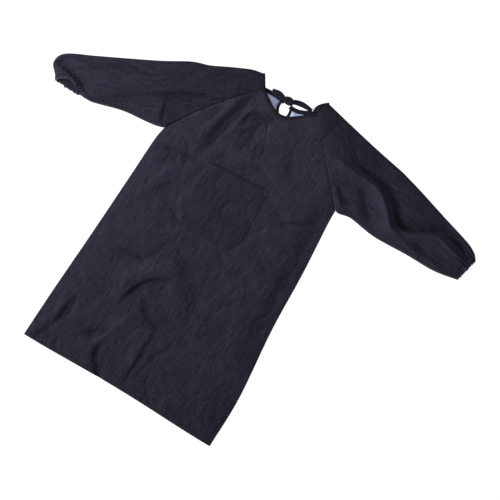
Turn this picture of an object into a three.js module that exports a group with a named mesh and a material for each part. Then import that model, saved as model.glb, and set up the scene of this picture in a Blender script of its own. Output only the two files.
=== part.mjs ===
// A long-sleeved smock apron in dark denim, lying on its back with both sleeves spread.
// X runs across the garment, Y from hem to neck, and Z up from the surface it lies on.
// Lengths are millimetres. Plan points are measured from the middle of the hem.
// Left and right are as seen from the front.

import * as THREE from "three";

// Cloth
const CLOTH = 1.2; // one layer of denim
const TAPE = 1.8; // the doubled tape of bindings and ties
const GAP = 0.3; // clearance between pieces that are sewn together
const SEAM_SHIFT = 0.25; // how far each side of a raglan seam draws back from the seam line

// Body: one row for each level of the two side seams
const BODY_LEVELS = [
  { at: "hem", leftX: -318, leftY: 0, rightX: 318, rightY: 0 },
  { at: "knee", leftX: -312, leftY: 150, rightX: 319, rightY: 165 },
  { at: "thigh", leftX: -301, leftY: 350, rightX: 298, rightY: 385 },
  { at: "waist", leftX: -292, leftY: 540, rightX: 290, rightY: 570 },
  { at: "ribs", leftX: -286, leftY: 682, rightX: 278, rightY: 727 },
  { at: "underarm", leftX: -279, leftY: 730, rightX: 276, rightY: 781 },
];
const RAGLAN_TOP = { leftX: -93, leftY: 971, rightX: 88, rightY: 989 };
const RAGLAN_BULGE = { left: 10, right: 0 }; // how far each raglan seam bows out of a straight line
const HEM_RISE = 6; // the middle of the hem above its corners
const FRONT_DROP = 56; // front neckline below the line between the raglan tops
const BACK_DROP = 10; // back neckline below the same line
const FRONT_NECK_POWER = 1.3; // how pointed the front neckline is
const BACK_NECK_SKEW = 0.8; // the back neckline is lowest left of its middle

// Loft of the front above the back
const SIDE_TOP = 2 * CLOTH + GAP; // top of the front where it meets the back at the side seams
const BODY_LOFT = 9; // how much higher the front lies away from the side seams
const EDGE_RUN = 90; // distance over which it rises

// Cells of the front panel
const LEVEL_STEPS = 4; // rows between two levels
const RAGLAN_STEPS = 8; // rows beside a raglan seam
const FRONT_COLUMNS = 26;

// Patch pocket, as a block of the front panel's cells
const POCKET = { bottomRow: 11, topRow: 17, leftColumn: 8, rightColumn: 17 };

// Sleeves: one row for each section, from the neck to the elastic casing. Raglan rows give their place
// along the raglan seam, and tube rows their underarm point. Puff is the height of the dome.
const SLEEVE_LEFT = [
  { at: "neck", raglan: 0, foldX: -124, foldY: 1011, puff: 4, gather: 0 },
  { at: "shoulder", raglan: 0.375, foldX: -209, foldY: 983, puff: 9, gather: 0 },
  { at: "upper arm", raglan: 0.75, foldX: -311, foldY: 939, puff: 13, gather: 0 },
  { at: "underarm", raglan: 1, foldX: -390, foldY: 892, puff: 15, gather: 0 },
  { at: "elbow", seamX: -404, seamY: 710, foldX: -492, foldY: 840, puff: 15, gather: 0 },
  { at: "forearm", seamX: -470, seamY: 692, foldX: -562, foldY: 805, puff: 14, gather: 0.3 },
  { at: "wrist", seamX: -512, seamY: 682, foldX: -638, foldY: 765, puff: 13, gather: 1.2 },
  { at: "gathers", seamX: -530, seamY: 683, foldX: -656, foldY: 727, puff: 12, gather: 1.8 },
  { at: "casing", seamX: -543, seamY: 689, foldX: -634, foldY: 698, puff: 10, gather: 2.2 },
];
const SLEEVE_RIGHT = [
  { at: "neck", raglan: 0, foldX: 106, foldY: 1037, puff: 4, gather: 0 },
  { at: "shoulder", raglan: 0.375, foldX: 186, foldY: 1019, puff: 9, gather: 0 },
  { at: "upper arm", raglan: 0.75, foldX: 276, foldY: 1000, puff: 13, gather: 0 },
  { at: "underarm", raglan: 1, foldX: 350, foldY: 986, puff: 15, gather: 0 },
  { at: "pit", seamX: 326, seamY: 785, foldX: 392, foldY: 978, puff: 16, gather: 0 },
  { at: "elbow", seamX: 412, seamY: 774, foldX: 470, foldY: 957, puff: 16, gather: 0 },
  { at: "forearm", seamX: 520, seamY: 778, foldX: 556, foldY: 931, puff: 15, gather: 0.3 },
  { at: "wrist", seamX: 598, seamY: 778, foldX: 626, foldY: 911, puff: 13, gather: 1.2 },
  { at: "gathers", seamX: 641, seamY: 783, foldX: 666, foldY: 898, puff: 12, gather: 1.8 },
  { at: "casing", seamX: 669, seamY: 789, foldX: 690, foldY: 880, puff: 10, gather: 2.2 },
];
const TUBE_STEPS = 2; // sections from one tube row to the next
const FOLD_RADIUS = 2.4; // outside of the turn along a sleeve's flattened edges
const RAGLAN_RISE = 9.8; // least height of a sleeve's top beside the raglan seam, so that an arm goes in
const DOME_POWER = 0.6; // how flat the top of a sleeve is
const TOP_CELLS = 20;
const ARC_CELLS = 4;
const BOTTOM_CELLS = 8;
const PLEATS = 5; // gathers across the top of a cuff

// Cuffs: how far the casing shows beyond the sleeve, and how far its upper rim arches back
const CASING = { left: 14, right: 18 };
const CASING_ROWS = 2;
const CUFF_ARCH = { left: 8, right: 3 };
const NECK_ARCH = { left: 0, right: 9 }; // how far a sleeve's top edge bulges towards the neck

// Folds of the front and the sleeves: one row for each straight stretch, raised or sunk by height
const FOLDS = [
  { name: "drag from left neck", x0: -108, y0: 933, x1: -158, y1: 771, half: 22, height: -3.5 },
  { name: "ridge beside it", x0: -165, y0: 880, x1: -215, y1: 790, half: 22, height: 2.5 },
  { name: "under neckline", x0: -5, y0: 918, x1: -70, y1: 897, half: 15, height: -3 },
  { name: "under neckline end", x0: -70, y0: 897, x1: -91, y1: 855, half: 15, height: -3 },
  { name: "chest tuck", x0: -45, y0: 860, x1: -59, y1: 787, half: 14, height: -2 },
  { name: "left underarm to pocket", x0: -256, y0: 691, x1: -111, y1: 711, half: 13, height: -2.5 },
  { name: "right drag", x0: 129, y0: 646, x1: 248, y1: 716, half: 14, height: -2.5 },
  { name: "deep fold upper", x0: -31, y0: 352, x1: -92, y1: 307, half: 15, height: -4 },
  { name: "deep fold lower", x0: -92, y0: 307, x1: -129, y1: 231, half: 15, height: -4 },
  { name: "deep fold bank", x0: -70, y0: 375, x1: -140, y1: 290, half: 22, height: 3 },
  { name: "belly crossing", x0: -75, y0: 278, x1: 12, y1: 218, half: 16, height: -2.5 },
  { name: "centre crease", x0: 0, y0: 218, x1: 0, y1: 18, half: 14, height: 2 },
  { name: "hem dent", x0: -124, y0: 77, x1: -80, y1: 20, half: 16, height: -4 },
  { name: "left corner", x0: -250, y0: 140, x1: -272, y1: 49, half: 14, height: -3 },
  { name: "left lower ridge", x0: -217, y0: 70, x1: -90, y1: 190, half: 18, height: 3 },
  { name: "left thigh", x0: -179, y0: 362, x1: -119, y1: 376, half: 16, height: -2 },
  { name: "middle valley", x0: -35, y0: 415, x1: 69, y1: 292, half: 30, height: -3 },
  { name: "right side valley", x0: 262, y0: 620, x1: 266, y1: 257, half: 18, height: -3 },
  { name: "right sleeve ridge upper", x0: 205, y0: 919, x1: 358, y1: 903, half: 20, height: 6 },
  { name: "right sleeve ridge turn", x0: 358, y0: 903, x1: 428, y1: 831, half: 18, height: 6 },
  { name: "right sleeve ridge lower", x0: 428, y0: 831, x1: 498, y1: 797, half: 16, height: 4 },
  { name: "right sleeve valley upper", x0: 323, y0: 942, x1: 424, y1: 866, half: 18, height: -5 },
  { name: "right sleeve valley lower", x0: 424, y0: 866, x1: 548, y1: 866, half: 18, height: -4 },
  { name: "right sleeve pit valley", x0: 305, y0: 866, x1: 389, y1: 818, half: 18, height: -5 },
  { name: "right cuff ridge", x0: 568, y0: 866, x1: 660, y1: 848, half: 16, height: 3 },
  { name: "left sleeve valley", x0: -428, y0: 753, x1: -157, y1: 911, half: 20, height: -4 },
  { name: "left sleeve tuck", x0: -294, y0: 742, x1: -323, y1: 801, half: 13, height: 3 },
  { name: "left cuff valley", x0: -630, y0: 731, x1: -545, y1: 726, half: 14, height: -3 },
];
const FOLD_FADE = 0.12; // share of a sleeve's width over which folds die out at its edges

// Neck: bindings, the slit in the back neckline and the tie
const BINDING = 8; // width of the neck binding
const KEYHOLE = { x: -6, y: 956, halfWidth: 11, halfHeight: 24, tilt: 20 };
const KEYHOLE_BINDING = 5;
const KEYHOLE_ANGLES = { from: 149, to: 368, steps: 9 }; // degrees, down its left side and up its right
const KNOT = { x: -8, y: 984, z: 5.2, halfX: 9, halfY: 12, halfZ: 5 };
const LOOP_PATH = [
  { x: -17.2, y: 984, half: 5 },
  { x: -40, y: 986, half: 11 },
  { x: -63, y: 986, half: 8 },
];
const LOOP_LIFT = { base: 4.1, height: 5 };
const TIE_RIGHT_PATH = [
  { x: -1, y: 987, half: 6 },
  { x: 15, y: 995, half: 6.5 },
  { x: 36, y: 998, half: 6.5 },
  { x: 62, y: 999, half: 4.5 },
];
const TIE_LEFT_PATH = [
  { x: -15.2, y: 987, half: 4 },
  { x: -40, y: 988, half: 6 },
  { x: -58, y: 987, half: 6 },
];
const TIE_STEPS = 4; // cells from one point of a tie's path to the next

const DENIM = { color: 0x2b2936, roughness: 0.88, metalness: 0 };
const DENIM_SHADE = { color: 0x292734, roughness: 0.9, metalness: 0 };
const NAVY_TAPE = { color: 0x15151d, roughness: 0.85, metalness: 0 };

const { clamp, degToRad, lerp, smoothstep } = THREE.MathUtils;
const garment = new THREE.Group();

function addPiece(name, geometry, finish) {
  const mesh = new THREE.Mesh(geometry, new THREE.MeshStandardMaterial(finish));
  mesh.name = name;
  garment.add(mesh);
}

// Closes a sheet into a thin-walled solid: its outer skin, its inner skin and a rim on every free edge.
// Cells list the corners of three- or four-sided patches, all turning the same way.
function thinWall(outer, inner, cells) {
  const count = outer.length;
  const faces = [];
  const freeEdges = new Map();
  for (const cell of cells) {
    for (let k = 1; k + 1 < cell.length; k += 1) {
      faces.push([cell[0], cell[k], cell[k + 1]]);
      faces.push([cell[0] + count, cell[k + 1] + count, cell[k] + count]);
    }
    cell.forEach((from, k) => {
      const to = cell[(k + 1) % cell.length];
      if (!freeEdges.delete(`${to} ${from}`)) {
        freeEdges.set(`${from} ${to}`, [from, to]);
      }
    });
  }
  for (const [from, to] of freeEdges.values()) {
    faces.push([to, from, from + count]);
    faces.push([to, from + count, to + count]);
  }
  const points = [...outer, ...inner];
  if (signedVolume(points, faces) < 0) {
    faces.forEach((face) => face.reverse());
  }
  const geometry = new THREE.BufferGeometry().setFromPoints(points);
  geometry.setIndex(faces.flat());
  geometry.computeVertexNormals();
  return geometry;
}

function signedVolume(points, faces) {
  const normal = new THREE.Vector3();
  return faces.reduce((sum, [a, b, c]) => {
    return sum + points[a].dot(normal.crossVectors(points[b], points[c]));
  }, 0);
}

// Four-sided cells of a sheet whose points are listed row by row
function gridCells(rows, columns) {
  const cells = [];
  for (let i = 0; i < rows; i += 1) {
    for (let j = 0; j < columns; j += 1) {
      const corner = i * (columns + 1) + j;
      cells.push([corner, corner + 1, corner + columns + 2, corner + columns + 1]);
    }
  }
  return cells;
}

const lowered = (point, depth) => new THREE.Vector3(point.x, point.y, point.z - depth);

// Height added at a plan point by the folds
function foldHeight(x, y) {
  return FOLDS.reduce((sum, { x0, y0, x1, y1, half, height }) => {
    const along = ((x - x0) * (x1 - x0) + (y - y0) * (y1 - y0)) / ((x1 - x0) ** 2 + (y1 - y0) ** 2);
    const share = clamp(along, 0, 1);
    const away = Math.hypot(x - lerp(x0, x1, share), y - lerp(y0, y1, share));
    return sum + height * Math.exp(-((away / half) ** 2));
  }, 0);
}

// One edge of the body from hem to neck: the side seam, then the raglan seam
function bodySeam(side) {
  const xOf = (row) => row[`${side}X`];
  const yOf = (row) => row[`${side}Y`];
  const levels = BODY_LEVELS.map((row) => new THREE.Vector3(xOf(row), yOf(row), 0));
  const underarm = levels.at(-1);
  const neck = new THREE.Vector3(xOf(RAGLAN_TOP), yOf(RAGLAN_TOP), 0);
  const outward = Math.sign(underarm.x);
  const middle = underarm.clone().lerp(neck, 0.5);
  const bend = new THREE.Vector3(outward, 1, 0).setLength(2 * RAGLAN_BULGE[side]);
  const raglan = new THREE.QuadraticBezierCurve3(underarm, middle.add(bend), neck);
  const sideSeam = new THREE.CatmullRomCurve3(levels);
  return {
    outward,
    raglan,
    side: sideSeam.getPoints((BODY_LEVELS.length - 1) * LEVEL_STEPS),
  };
}

const seams = { left: bodySeam("left"), right: bodySeam("right") };
const UNDERARM_ROW = (BODY_LEVELS.length - 1) * LEVEL_STEPS;

// The points of one body edge, drawn back a little along the raglan seam
function bodyEdge({ outward, raglan, side }) {
  const raglanPoints = raglan.getPoints(RAGLAN_STEPS);
  raglanPoints.forEach((point) => point.setX(point.x - outward * SEAM_SHIFT));
  return [...side.slice(0, UNDERARM_ROW), ...raglanPoints];
}

const leftEdge = bodyEdge(seams.left);
const rightEdge = bodyEdge(seams.right);

// X of a side seam at a height above the hem, running straight up beyond the underarm
function sideX(side, y) {
  const points = seams[side].side;
  const above = points.findIndex((point) => point.y > y);
  if (above < 1) {
    return above === 0 ? points[0].x : points.at(-1).x;
  }
  const from = points[above - 1];
  const to = points[above];
  return lerp(from.x, to.x, (y - from.y) / (to.y - from.y));
}

// Height of the front's outer face
function frontTop(x, y) {
  const inset = Math.min(x - sideX("left", y), sideX("right", y) - x);
  const rise = 1 - (1 - clamp(inset / EDGE_RUN, 0, 1)) ** 2;
  return SIDE_TOP + rise * (BODY_LOFT + foldHeight(x, y));
}

// Plan point of the body: a row from its left edge to its right edge, bent by the hem and the neckline
function bodyPoint(row, share, neckSag) {
  const point = leftEdge[row].clone().lerp(rightEdge[row], share);
  const hemward = clamp(1 - row / LEVEL_STEPS, 0, 1);
  const neckward = clamp((row - UNDERARM_ROW) / RAGLAN_STEPS, 0, 1);
  point.y += HEM_RISE * hemward * Math.sin(Math.PI * share) ** 2 - neckward ** 2 * neckSag(share);
  return point;
}

const frontSag = (share) => FRONT_DROP * Math.sin(Math.PI * share) ** FRONT_NECK_POWER;
const backSag = (share) => BACK_DROP * Math.sin(Math.PI * share ** BACK_NECK_SKEW) ** 2;

// Front panel
const NECK_ROW = UNDERARM_ROW + RAGLAN_STEPS;
const frontOuter = [];
for (let row = 0; row <= NECK_ROW; row += 1) {
  for (let column = 0; column <= FRONT_COLUMNS; column += 1) {
    const point = bodyPoint(row, column / FRONT_COLUMNS, frontSag);
    frontOuter.push(point.setZ(frontTop(point.x, point.y)));
  }
}
const frontInner = frontOuter.map((point) => lowered(point, CLOTH));
addPiece("front_panel", thinWall(frontOuter, frontInner, gridCells(NECK_ROW, FRONT_COLUMNS)), DENIM);

// Patch pocket: a block of the front's own cells, lifted onto it, with its lower corners cut off
function pocketGeometry() {
  const rows = POCKET.topRow - POCKET.bottomRow;
  const columns = POCKET.rightColumn - POCKET.leftColumn;
  const inner = [];
  for (let row = POCKET.bottomRow; row <= POCKET.topRow; row += 1) {
    const start = row * (FRONT_COLUMNS + 1) + POCKET.leftColumn;
    frontOuter.slice(start, start + columns + 1).forEach((point) => inner.push(lowered(point, -GAP)));
  }
  const cells = gridCells(rows, columns);
  cells[0] = cells[0].slice(1);
  cells[columns - 1] = cells[columns - 1].filter((_, corner) => corner !== 1);
  const outer = inner.map((point) => lowered(point, -CLOTH));
  return thinWall(outer, inner, cells);
}
addPiece("front_pocket", pocketGeometry(), DENIM_SHADE);

// Slit in the back neckline: points of a tilted ellipse that leaves room for the binding
function keyholePoints(margin) {
  const { from, to, steps } = KEYHOLE_ANGLES;
  const slit = new THREE.EllipseCurve(
    KEYHOLE.x, KEYHOLE.y,
    KEYHOLE.halfWidth + margin, KEYHOLE.halfHeight + margin,
    degToRad(from), degToRad(to), false, degToRad(KEYHOLE.tilt),
  );
  return slit.getPoints(steps);
}

// Back panel: a flat sheet with the body's outline, the back neckline and the slit
const flat = (point) => new THREE.Vector2(point.x, point.y);
const backNeckline = Array.from({ length: FRONT_COLUMNS + 1 }, (_, column) => {
  return bodyPoint(NECK_ROW, column / FRONT_COLUMNS, backSag);
});
function backPanelGeometry() {
  const slit = keyholePoints(KEYHOLE_BINDING + GAP);
  const neckline = backNeckline.map(flat);
  const hem = [0.75, 0.5, 0.25].map((share) => flat(bodyPoint(0, share, backSag)));
  const outline = [
    ...leftEdge.map(flat),
    ...neckline.slice(1).filter((point) => point.x < slit[0].x - GAP),
    ...slit,
    ...neckline.slice(0, -1).filter((point) => point.x > slit.at(-1).x + GAP),
    ...rightEdge.map(flat).reverse(),
    ...hem,
  ];
  return new THREE.ExtrudeGeometry(new THREE.Shape(outline), { depth: CLOTH, bevelEnabled: false });
}
addPiece("back_panel", backPanelGeometry(), DENIM);

// Binding of the slit: a flat band that follows the ellipse inside the cut
function keyholeBindingGeometry() {
  const outside = keyholePoints(KEYHOLE_BINDING);
  const bottom = keyholePoints(0).flatMap((point, k) => {
    return [outside[k], point].map(({ x, y }) => new THREE.Vector3(x, y, 0));
  });
  const top = bottom.map((point) => lowered(point, -TAPE));
  return thinWall(bottom, top, gridCells(outside.length - 1, 1));
}
addPiece("keyhole_binding", keyholeBindingGeometry(), NAVY_TAPE);

// Value of one column of a sleeve's table between two of its rows
function between(rows, column, position) {
  const values = rows.map((row, index) => new THREE.Vector3(index, row[column], 0));
  return new THREE.CatmullRomCurve3(values, false, "catmullrom").getPoint(position / (rows.length - 1)).y;
}

// The sections of a sleeve from neck to cuff. The ones beside the raglan seam are open there.
function sleeveSections(side, table) {
  const { outward, raglan } = seams[side];
  const raglanRows = table.filter((row) => row.raglan !== undefined);
  const placed = table.map((row) => {
    if (row.raglan === undefined) {
      return row;
    }
    const seam = raglan.getPoint(1 - row.raglan);
    return { ...row, seamX: seam.x + outward * SEAM_SHIFT, seamY: seam.y };
  });
  const sectionAt = (position, seam, open) => ({
    seam: seam ?? new THREE.Vector2(between(placed, "seamX", position), between(placed, "seamY", position)),
    fold: new THREE.Vector2(between(placed, "foldX", position), between(placed, "foldY", position)),
    puff: between(placed, "puff", position),
    gather: Math.max(0, between(placed, "gather", position)),
    arch: 0,
    open,
  });
  const sections = [];
  for (let step = 0; step <= RAGLAN_STEPS; step += 1) {
    const share = step / RAGLAN_STEPS;
    const next = Math.max(1, raglanRows.findIndex((row) => row.raglan >= share));
    const [from, to] = [raglanRows[next - 1].raglan, raglanRows[next].raglan];
    const seam = raglan.getPoint(1 - share);
    const point = new THREE.Vector2(seam.x + outward * SEAM_SHIFT, seam.y);
    sections.push(sectionAt(next - 1 + (share - from) / (to - from), point, step < RAGLAN_STEPS));
  }
  const tubeStart = raglanRows.length - 1;
  for (let step = 1; step <= (table.length - 1 - tubeStart) * TUBE_STEPS; step += 1) {
    sections.push(sectionAt(tubeStart + step / TUBE_STEPS, null, false));
  }
  sections[0].arch = NECK_ARCH[side];
  sections.at(-1).arch = CUFF_ARCH[side];
  return sections;
}

// One section of a flattened tube: over its top from seam to fold, round the fold, back along the
// bottom, and round the seam edge unless the section is open there
function sectionLoop({ seam, fold, puff, gather, arch, open }) {
  const width = seam.distanceTo(fold);
  const across = fold.clone().sub(seam).divideScalar(width);
  const back = new THREE.Vector2(-across.y, across.x).multiplyScalar(Math.sign(across.x) * arch);
  const topStart = open ? 0 : FOLD_RADIUS;
  const seamTop = open ? Math.max(RAGLAN_RISE, frontTop(seam.x, seam.y)) : 2 * FOLD_RADIUS;
  const outer = [];
  const inner = [];
  const put = (list, along, z, archShare = 0) => {
    const plan = seam.clone().addScaledVector(across, along).addScaledVector(back, archShare);
    list.push(new THREE.Vector3(plan.x, plan.y, z));
  };
  const edgeArc = (centre, direction, steps) => {
    steps.forEach((step) => {
      const angle = Math.PI * (0.5 - step / ARC_CELLS);
      for (const [list, radius] of [[outer, FOLD_RADIUS], [inner, FOLD_RADIUS - CLOTH]]) {
        const reach = direction * radius * Math.cos(angle);
        put(list, centre + reach, FOLD_RADIUS + radius * Math.sin(angle));
      }
    });
  };
  const arcSteps = Array.from({ length: ARC_CELLS - 1 }, (_, k) => k + 1);
  for (let k = 0; k <= TOP_CELLS; k += 1) {
    const share = k / TOP_CELLS;
    const along = lerp(topStart, width - FOLD_RADIUS, share);
    const dome = (4 * share * (1 - share)) ** DOME_POWER;
    const fade = smoothstep(share, 0, FOLD_FADE) * smoothstep(1 - share, 0, FOLD_FADE);
    const plan = seam.clone().addScaledVector(across, along);
    const pleat = gather * Math.cos(2 * Math.PI * PLEATS * share) * fade;
    const edge = lerp(seamTop, 2 * FOLD_RADIUS, share);
    const z = edge + puff * dome + fade * foldHeight(plan.x, plan.y) + pleat;
    put(outer, along, z, 4 * share * (1 - share));
    put(inner, along, z - CLOTH, 4 * share * (1 - share));
  }
  edgeArc(width - FOLD_RADIUS, 1, arcSteps);
  for (let k = 0; k <= BOTTOM_CELLS; k += 1) {
    const along = lerp(width - FOLD_RADIUS, topStart, k / BOTTOM_CELLS);
    put(outer, along, 0);
    put(inner, along, CLOTH);
  }
  if (!open) {
    edgeArc(FOLD_RADIUS, -1, arcSteps.toReversed());
  }
  return { outer, inner };
}

// A tube through its sections, open along its seam where they are
function tubeGeometry(sections) {
  const loops = sections.map(sectionLoop);
  const starts = [0];
  loops.forEach((loop) => starts.push(starts.at(-1) + loop.outer.length));
  const cells = [];
  for (let i = 0; i + 1 < loops.length; i += 1) {
    const length = loops[i].outer.length;
    const closed = !sections[i].open;
    for (let j = 0; j < (closed ? length : length - 1); j += 1) {
      const next = (j + 1) % length;
      cells.push([starts[i] + j, starts[i] + next, starts[i + 1] + next, starts[i + 1] + j]);
    }
  }
  const skin = (side) => loops.flatMap((loop) => loop[side]);
  return thinWall(skin("outer"), skin("inner"), cells);
}

// The casing carries on from the sleeve's last section, square to it
function cuffSections(section, before, length) {
  const middle = ({ seam, fold }) => seam.clone().lerp(fold, 0.5);
  const across = section.fold.clone().sub(section.seam).normalize();
  const outward = new THREE.Vector2(-across.y, across.x);
  if (outward.dot(middle(section).sub(middle(before))) < 0) {
    outward.negate();
  }
  return Array.from({ length: CASING_ROWS + 1 }, (_, k) => {
    const reach = lerp(GAP, length, k / CASING_ROWS);
    return {
      ...section,
      seam: section.seam.clone().addScaledVector(outward, reach),
      fold: section.fold.clone().addScaledVector(outward, reach),
    };
  });
}

const neckLoops = {};
for (const [side, table] of [["left", SLEEVE_LEFT], ["right", SLEEVE_RIGHT]]) {
  const sections = sleeveSections(side, table);
  neckLoops[side] = sectionLoop(sections[0]);
  addPiece(`sleeve_${side}`, tubeGeometry(sections), DENIM);
  const casing = cuffSections(sections.at(-1), sections.at(-1 - TUBE_STEPS), CASING[side]);
  addPiece(`cuff_${side}`, tubeGeometry(casing), DENIM_SHADE);
}

// Neck binding: one tape round the whole neck opening, from the tie along the left half of the back
// neckline, round the left sleeve, along the front, round the right sleeve and back to the tie
function neckPath() {
  const up = new THREE.Vector3(0, 0, 1);
  const down = new THREE.Vector3(0, 0, -1);
  const path = [];
  const add = (point, normal) => path.push({ point, normal });
  const besideKnot = (sign) => {
    const x = KNOT.x + sign * (KNOT.halfX + GAP);
    const next = backNeckline.findIndex((point) => point.x > x);
    const [from, to] = [backNeckline[next - 1], backNeckline[next]];
    return from.clone().lerp(to, (x - from.x) / (to.x - from.x));
  };
  const sleeveNormals = ({ outer, inner }) => {
    return outer.map((point, k) => point.clone().sub(inner[k]).normalize());
  };
  const leftNormals = sleeveNormals(neckLoops.left);
  const rightNormals = sleeveNormals(neckLoops.right);
  const knotLeft = besideKnot(-1);
  const knotRight = besideKnot(1);
  add(knotLeft, down);
  const backLeft = backNeckline.filter((point) => point.x < knotLeft.x - GAP);
  backLeft.reverse().forEach((point) => add(point, down));
  neckLoops.left.outer.slice(1, -1).forEach((_, k, list) => {
    const index = list.length - k;
    add(neckLoops.left.outer[index], leftNormals[index]);
  });
  frontOuter.slice(NECK_ROW * (FRONT_COLUMNS + 1)).forEach((point) => add(point, up));
  neckLoops.right.outer.slice(1, -1).forEach((point, k) => add(point, rightNormals[k + 1]));
  const backRight = backNeckline.filter((point) => point.x > knotRight.x + GAP);
  backRight.reverse().forEach((point) => add(point, down));
  add(knotRight, down);
  return path;
}

// A flat tape beside a path, on the side away from the cloth, with mitred corners
function edgeTape(path, width) {
  const outer = [];
  const inner = [];
  path.forEach(({ point, normal }, k) => {
    const sides = [k - 1, k].filter((i) => i >= 0 && i + 1 < path.length).map((i) => {
      const heading = path[i + 1].point.clone().sub(path[i].point);
      return normal.clone().cross(heading).setZ(0).normalize();
    });
    const away = sides.reduce((sum, side) => sum.add(side), new THREE.Vector3()).normalize();
    const mitre = 1 / away.dot(sides[0]);
    for (const reach of [GAP, GAP + width]) {
      const place = point.clone().addScaledVector(away, reach * mitre);
      outer.push(place);
      inner.push(place.clone().addScaledVector(normal, -TAPE));
    }
  });
  return thinWall(outer, inner, gridCells(path.length - 1, 1));
}
addPiece("neck_binding", edgeTape(neckPath(), BINDING), NAVY_TAPE);

// Tie: a knot over the slit, with a loop and two free ends
const knot = new THREE.SphereGeometry(1, 16, 10);
knot.scale(KNOT.halfX, KNOT.halfY, KNOT.halfZ);
knot.translate(KNOT.x, KNOT.y, KNOT.z);
addPiece("bow_knot", knot, NAVY_TAPE);

// Points along a tie's path, each with half the tape's width there
function tieStations(path) {
  const curve = new THREE.CatmullRomCurve3(path.map(({ x, y, half }) => new THREE.Vector3(x, y, half)));
  return curve.getPoints((path.length - 1) * TIE_STEPS);
}

// A free end: one flat tape on the surface
function tieEndGeometry(path) {
  const bottom = tieStations(path).flatMap(({ x, y, z: half }) => {
    return [-half, half].map((offset) => new THREE.Vector3(x, y + offset, 0));
  });
  const top = bottom.map((point) => lowered(point, -TAPE));
  return thinWall(bottom, top, gridCells(bottom.length / 2 - 1, 1));
}
addPiece("tie_end_right", tieEndGeometry(TIE_RIGHT_PATH), NAVY_TAPE);
addPiece("tie_end_left", tieEndGeometry(TIE_LEFT_PATH), NAVY_TAPE);

// The loop: out along the top, round its tip and back along the bottom
function loopGeometry() {
  const stations = tieStations(LOOP_PATH);
  const last = stations.length - 1;
  const lift = (k) => (LOOP_LIFT.height / 2) * Math.sin((Math.PI * (k + 1)) / (last + 2)) ** DOME_POWER;
  const topRun = stations.map((station, k) => ({ station, z: LOOP_LIFT.base + TAPE + lift(k), normal: 1 }));
  const tip = { station: stations[last].clone().add(new THREE.Vector3(-TAPE, 0, 0)), z: LOOP_LIFT.base };
  const bottomRun = stations.map((station) => ({ station, z: LOOP_LIFT.base - TAPE, normal: -1 }));
  const run = [...topRun, { ...tip, normal: 0 }, ...bottomRun.reverse()];
  const outer = [];
  const inner = [];
  run.forEach(({ station, z, normal }) => {
    for (const side of [-1, 1]) {
      const y = station.y + side * station.z;
      outer.push(new THREE.Vector3(station.x, y, z));
      const shrink = normal === 0 ? TAPE : 0;
      inner.push(new THREE.Vector3(station.x + shrink, y, z - normal * CLOTH));
    }
  });
  return thinWall(outer, inner, gridCells(run.length - 1, 1));
}
addPiece("bow_loop", loopGeometry(), NAVY_TAPE);

// The origin is the middle of the garment's outline, on the surface it lies on
const box = new THREE.Box3().setFromObject(garment, true);
garment.position.set(-(box.min.x + box.max.x) / 2, -(box.min.y + box.max.y) / 2, -box.min.z);
garment.updateMatrixWorld(true);

export default garment;
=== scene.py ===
"""A long-sleeved smock apron in dark denim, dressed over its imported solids.

The garment lies on its back with both sleeves spread. Plan sizes in the tables are millimetres from
the middle of the hem: x runs across the garment and y towards the neck. Left and right are as seen
from the front.
"""

import math

import bpy
import numpy as np
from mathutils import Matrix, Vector, geometry, noise


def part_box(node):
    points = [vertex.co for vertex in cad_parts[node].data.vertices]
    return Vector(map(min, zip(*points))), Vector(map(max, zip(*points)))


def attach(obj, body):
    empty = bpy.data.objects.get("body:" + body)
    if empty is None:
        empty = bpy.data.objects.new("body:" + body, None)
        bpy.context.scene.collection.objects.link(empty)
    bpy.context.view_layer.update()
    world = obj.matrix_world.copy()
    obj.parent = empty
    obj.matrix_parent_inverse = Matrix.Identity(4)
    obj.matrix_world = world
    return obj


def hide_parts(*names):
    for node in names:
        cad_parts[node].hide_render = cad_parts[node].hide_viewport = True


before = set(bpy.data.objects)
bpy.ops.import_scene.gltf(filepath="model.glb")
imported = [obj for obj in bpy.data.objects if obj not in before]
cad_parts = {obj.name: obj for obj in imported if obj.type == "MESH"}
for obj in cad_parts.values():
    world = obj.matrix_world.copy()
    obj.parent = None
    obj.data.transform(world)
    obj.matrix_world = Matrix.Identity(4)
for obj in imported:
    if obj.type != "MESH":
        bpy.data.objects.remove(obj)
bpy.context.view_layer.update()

bl_info = {
    "name": "Smock Apron",
    "version": (1, 0, 0),
    "blender": (4, 5, 0),
    "location": "View3D > Sidebar > Smock",
    "description": "Builds a long-sleeved denim smock apron over its packed solids",
    "category": "Add Mesh",
}

MM = 0.001
HEM_LEFT = -318.0
FRONT_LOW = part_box("front_panel")[0]
HEM_MIDDLE = np.array([FRONT_LOW[0] - HEM_LEFT * MM, FRONT_LOW[1], 0.0])

# Cloth, in millimetres
CLOTH = 1.2
TAPE = 1.8
GAP = 0.3
SEAM_SHIFT = -0.4

# Body: left x, left y, right x, right y at hem, knee, thigh, waist, ribs and underarm
BODY_LEVELS = np.array([
    (HEM_LEFT, 0, 318, 0),
    (-312, 150, 319, 165),
    (-301, 350, 298, 385),
    (-292, 540, 290, 570),
    (-286, 682, 278, 727),
    (-279, 730, 276, 781),
], float)
RAGLAN_TOP = {"left": (-93, 971), "right": (88, 989)}
RAGLAN_BULGE = {"left": 10, "right": 0}
OUTWARD = {"left": -1, "right": 1}
HEM_RISE = 6
FRONT_DROP = 49
FRONT_NECK_POWER = 1.3
BACK_DROP = 17
BACK_NECK_SKEW = 1.6
SIDE_TOP = 2 * CLOTH + GAP
EDGE_RUN = 90
HEM_DEPTH = 18
HEM_TURN, HEM_GROOVE, HEM_GROOVE_HALF = 0.7, 0.8, 2
RAGLAN_GROOVE = {"underarm": 1.8, "neck": 0.5, "half": 3.2}
FOLD_STEPS, FOLD_REACH = 5, 4
FOLD_ENDS = (-0.15, 0.25)

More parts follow.
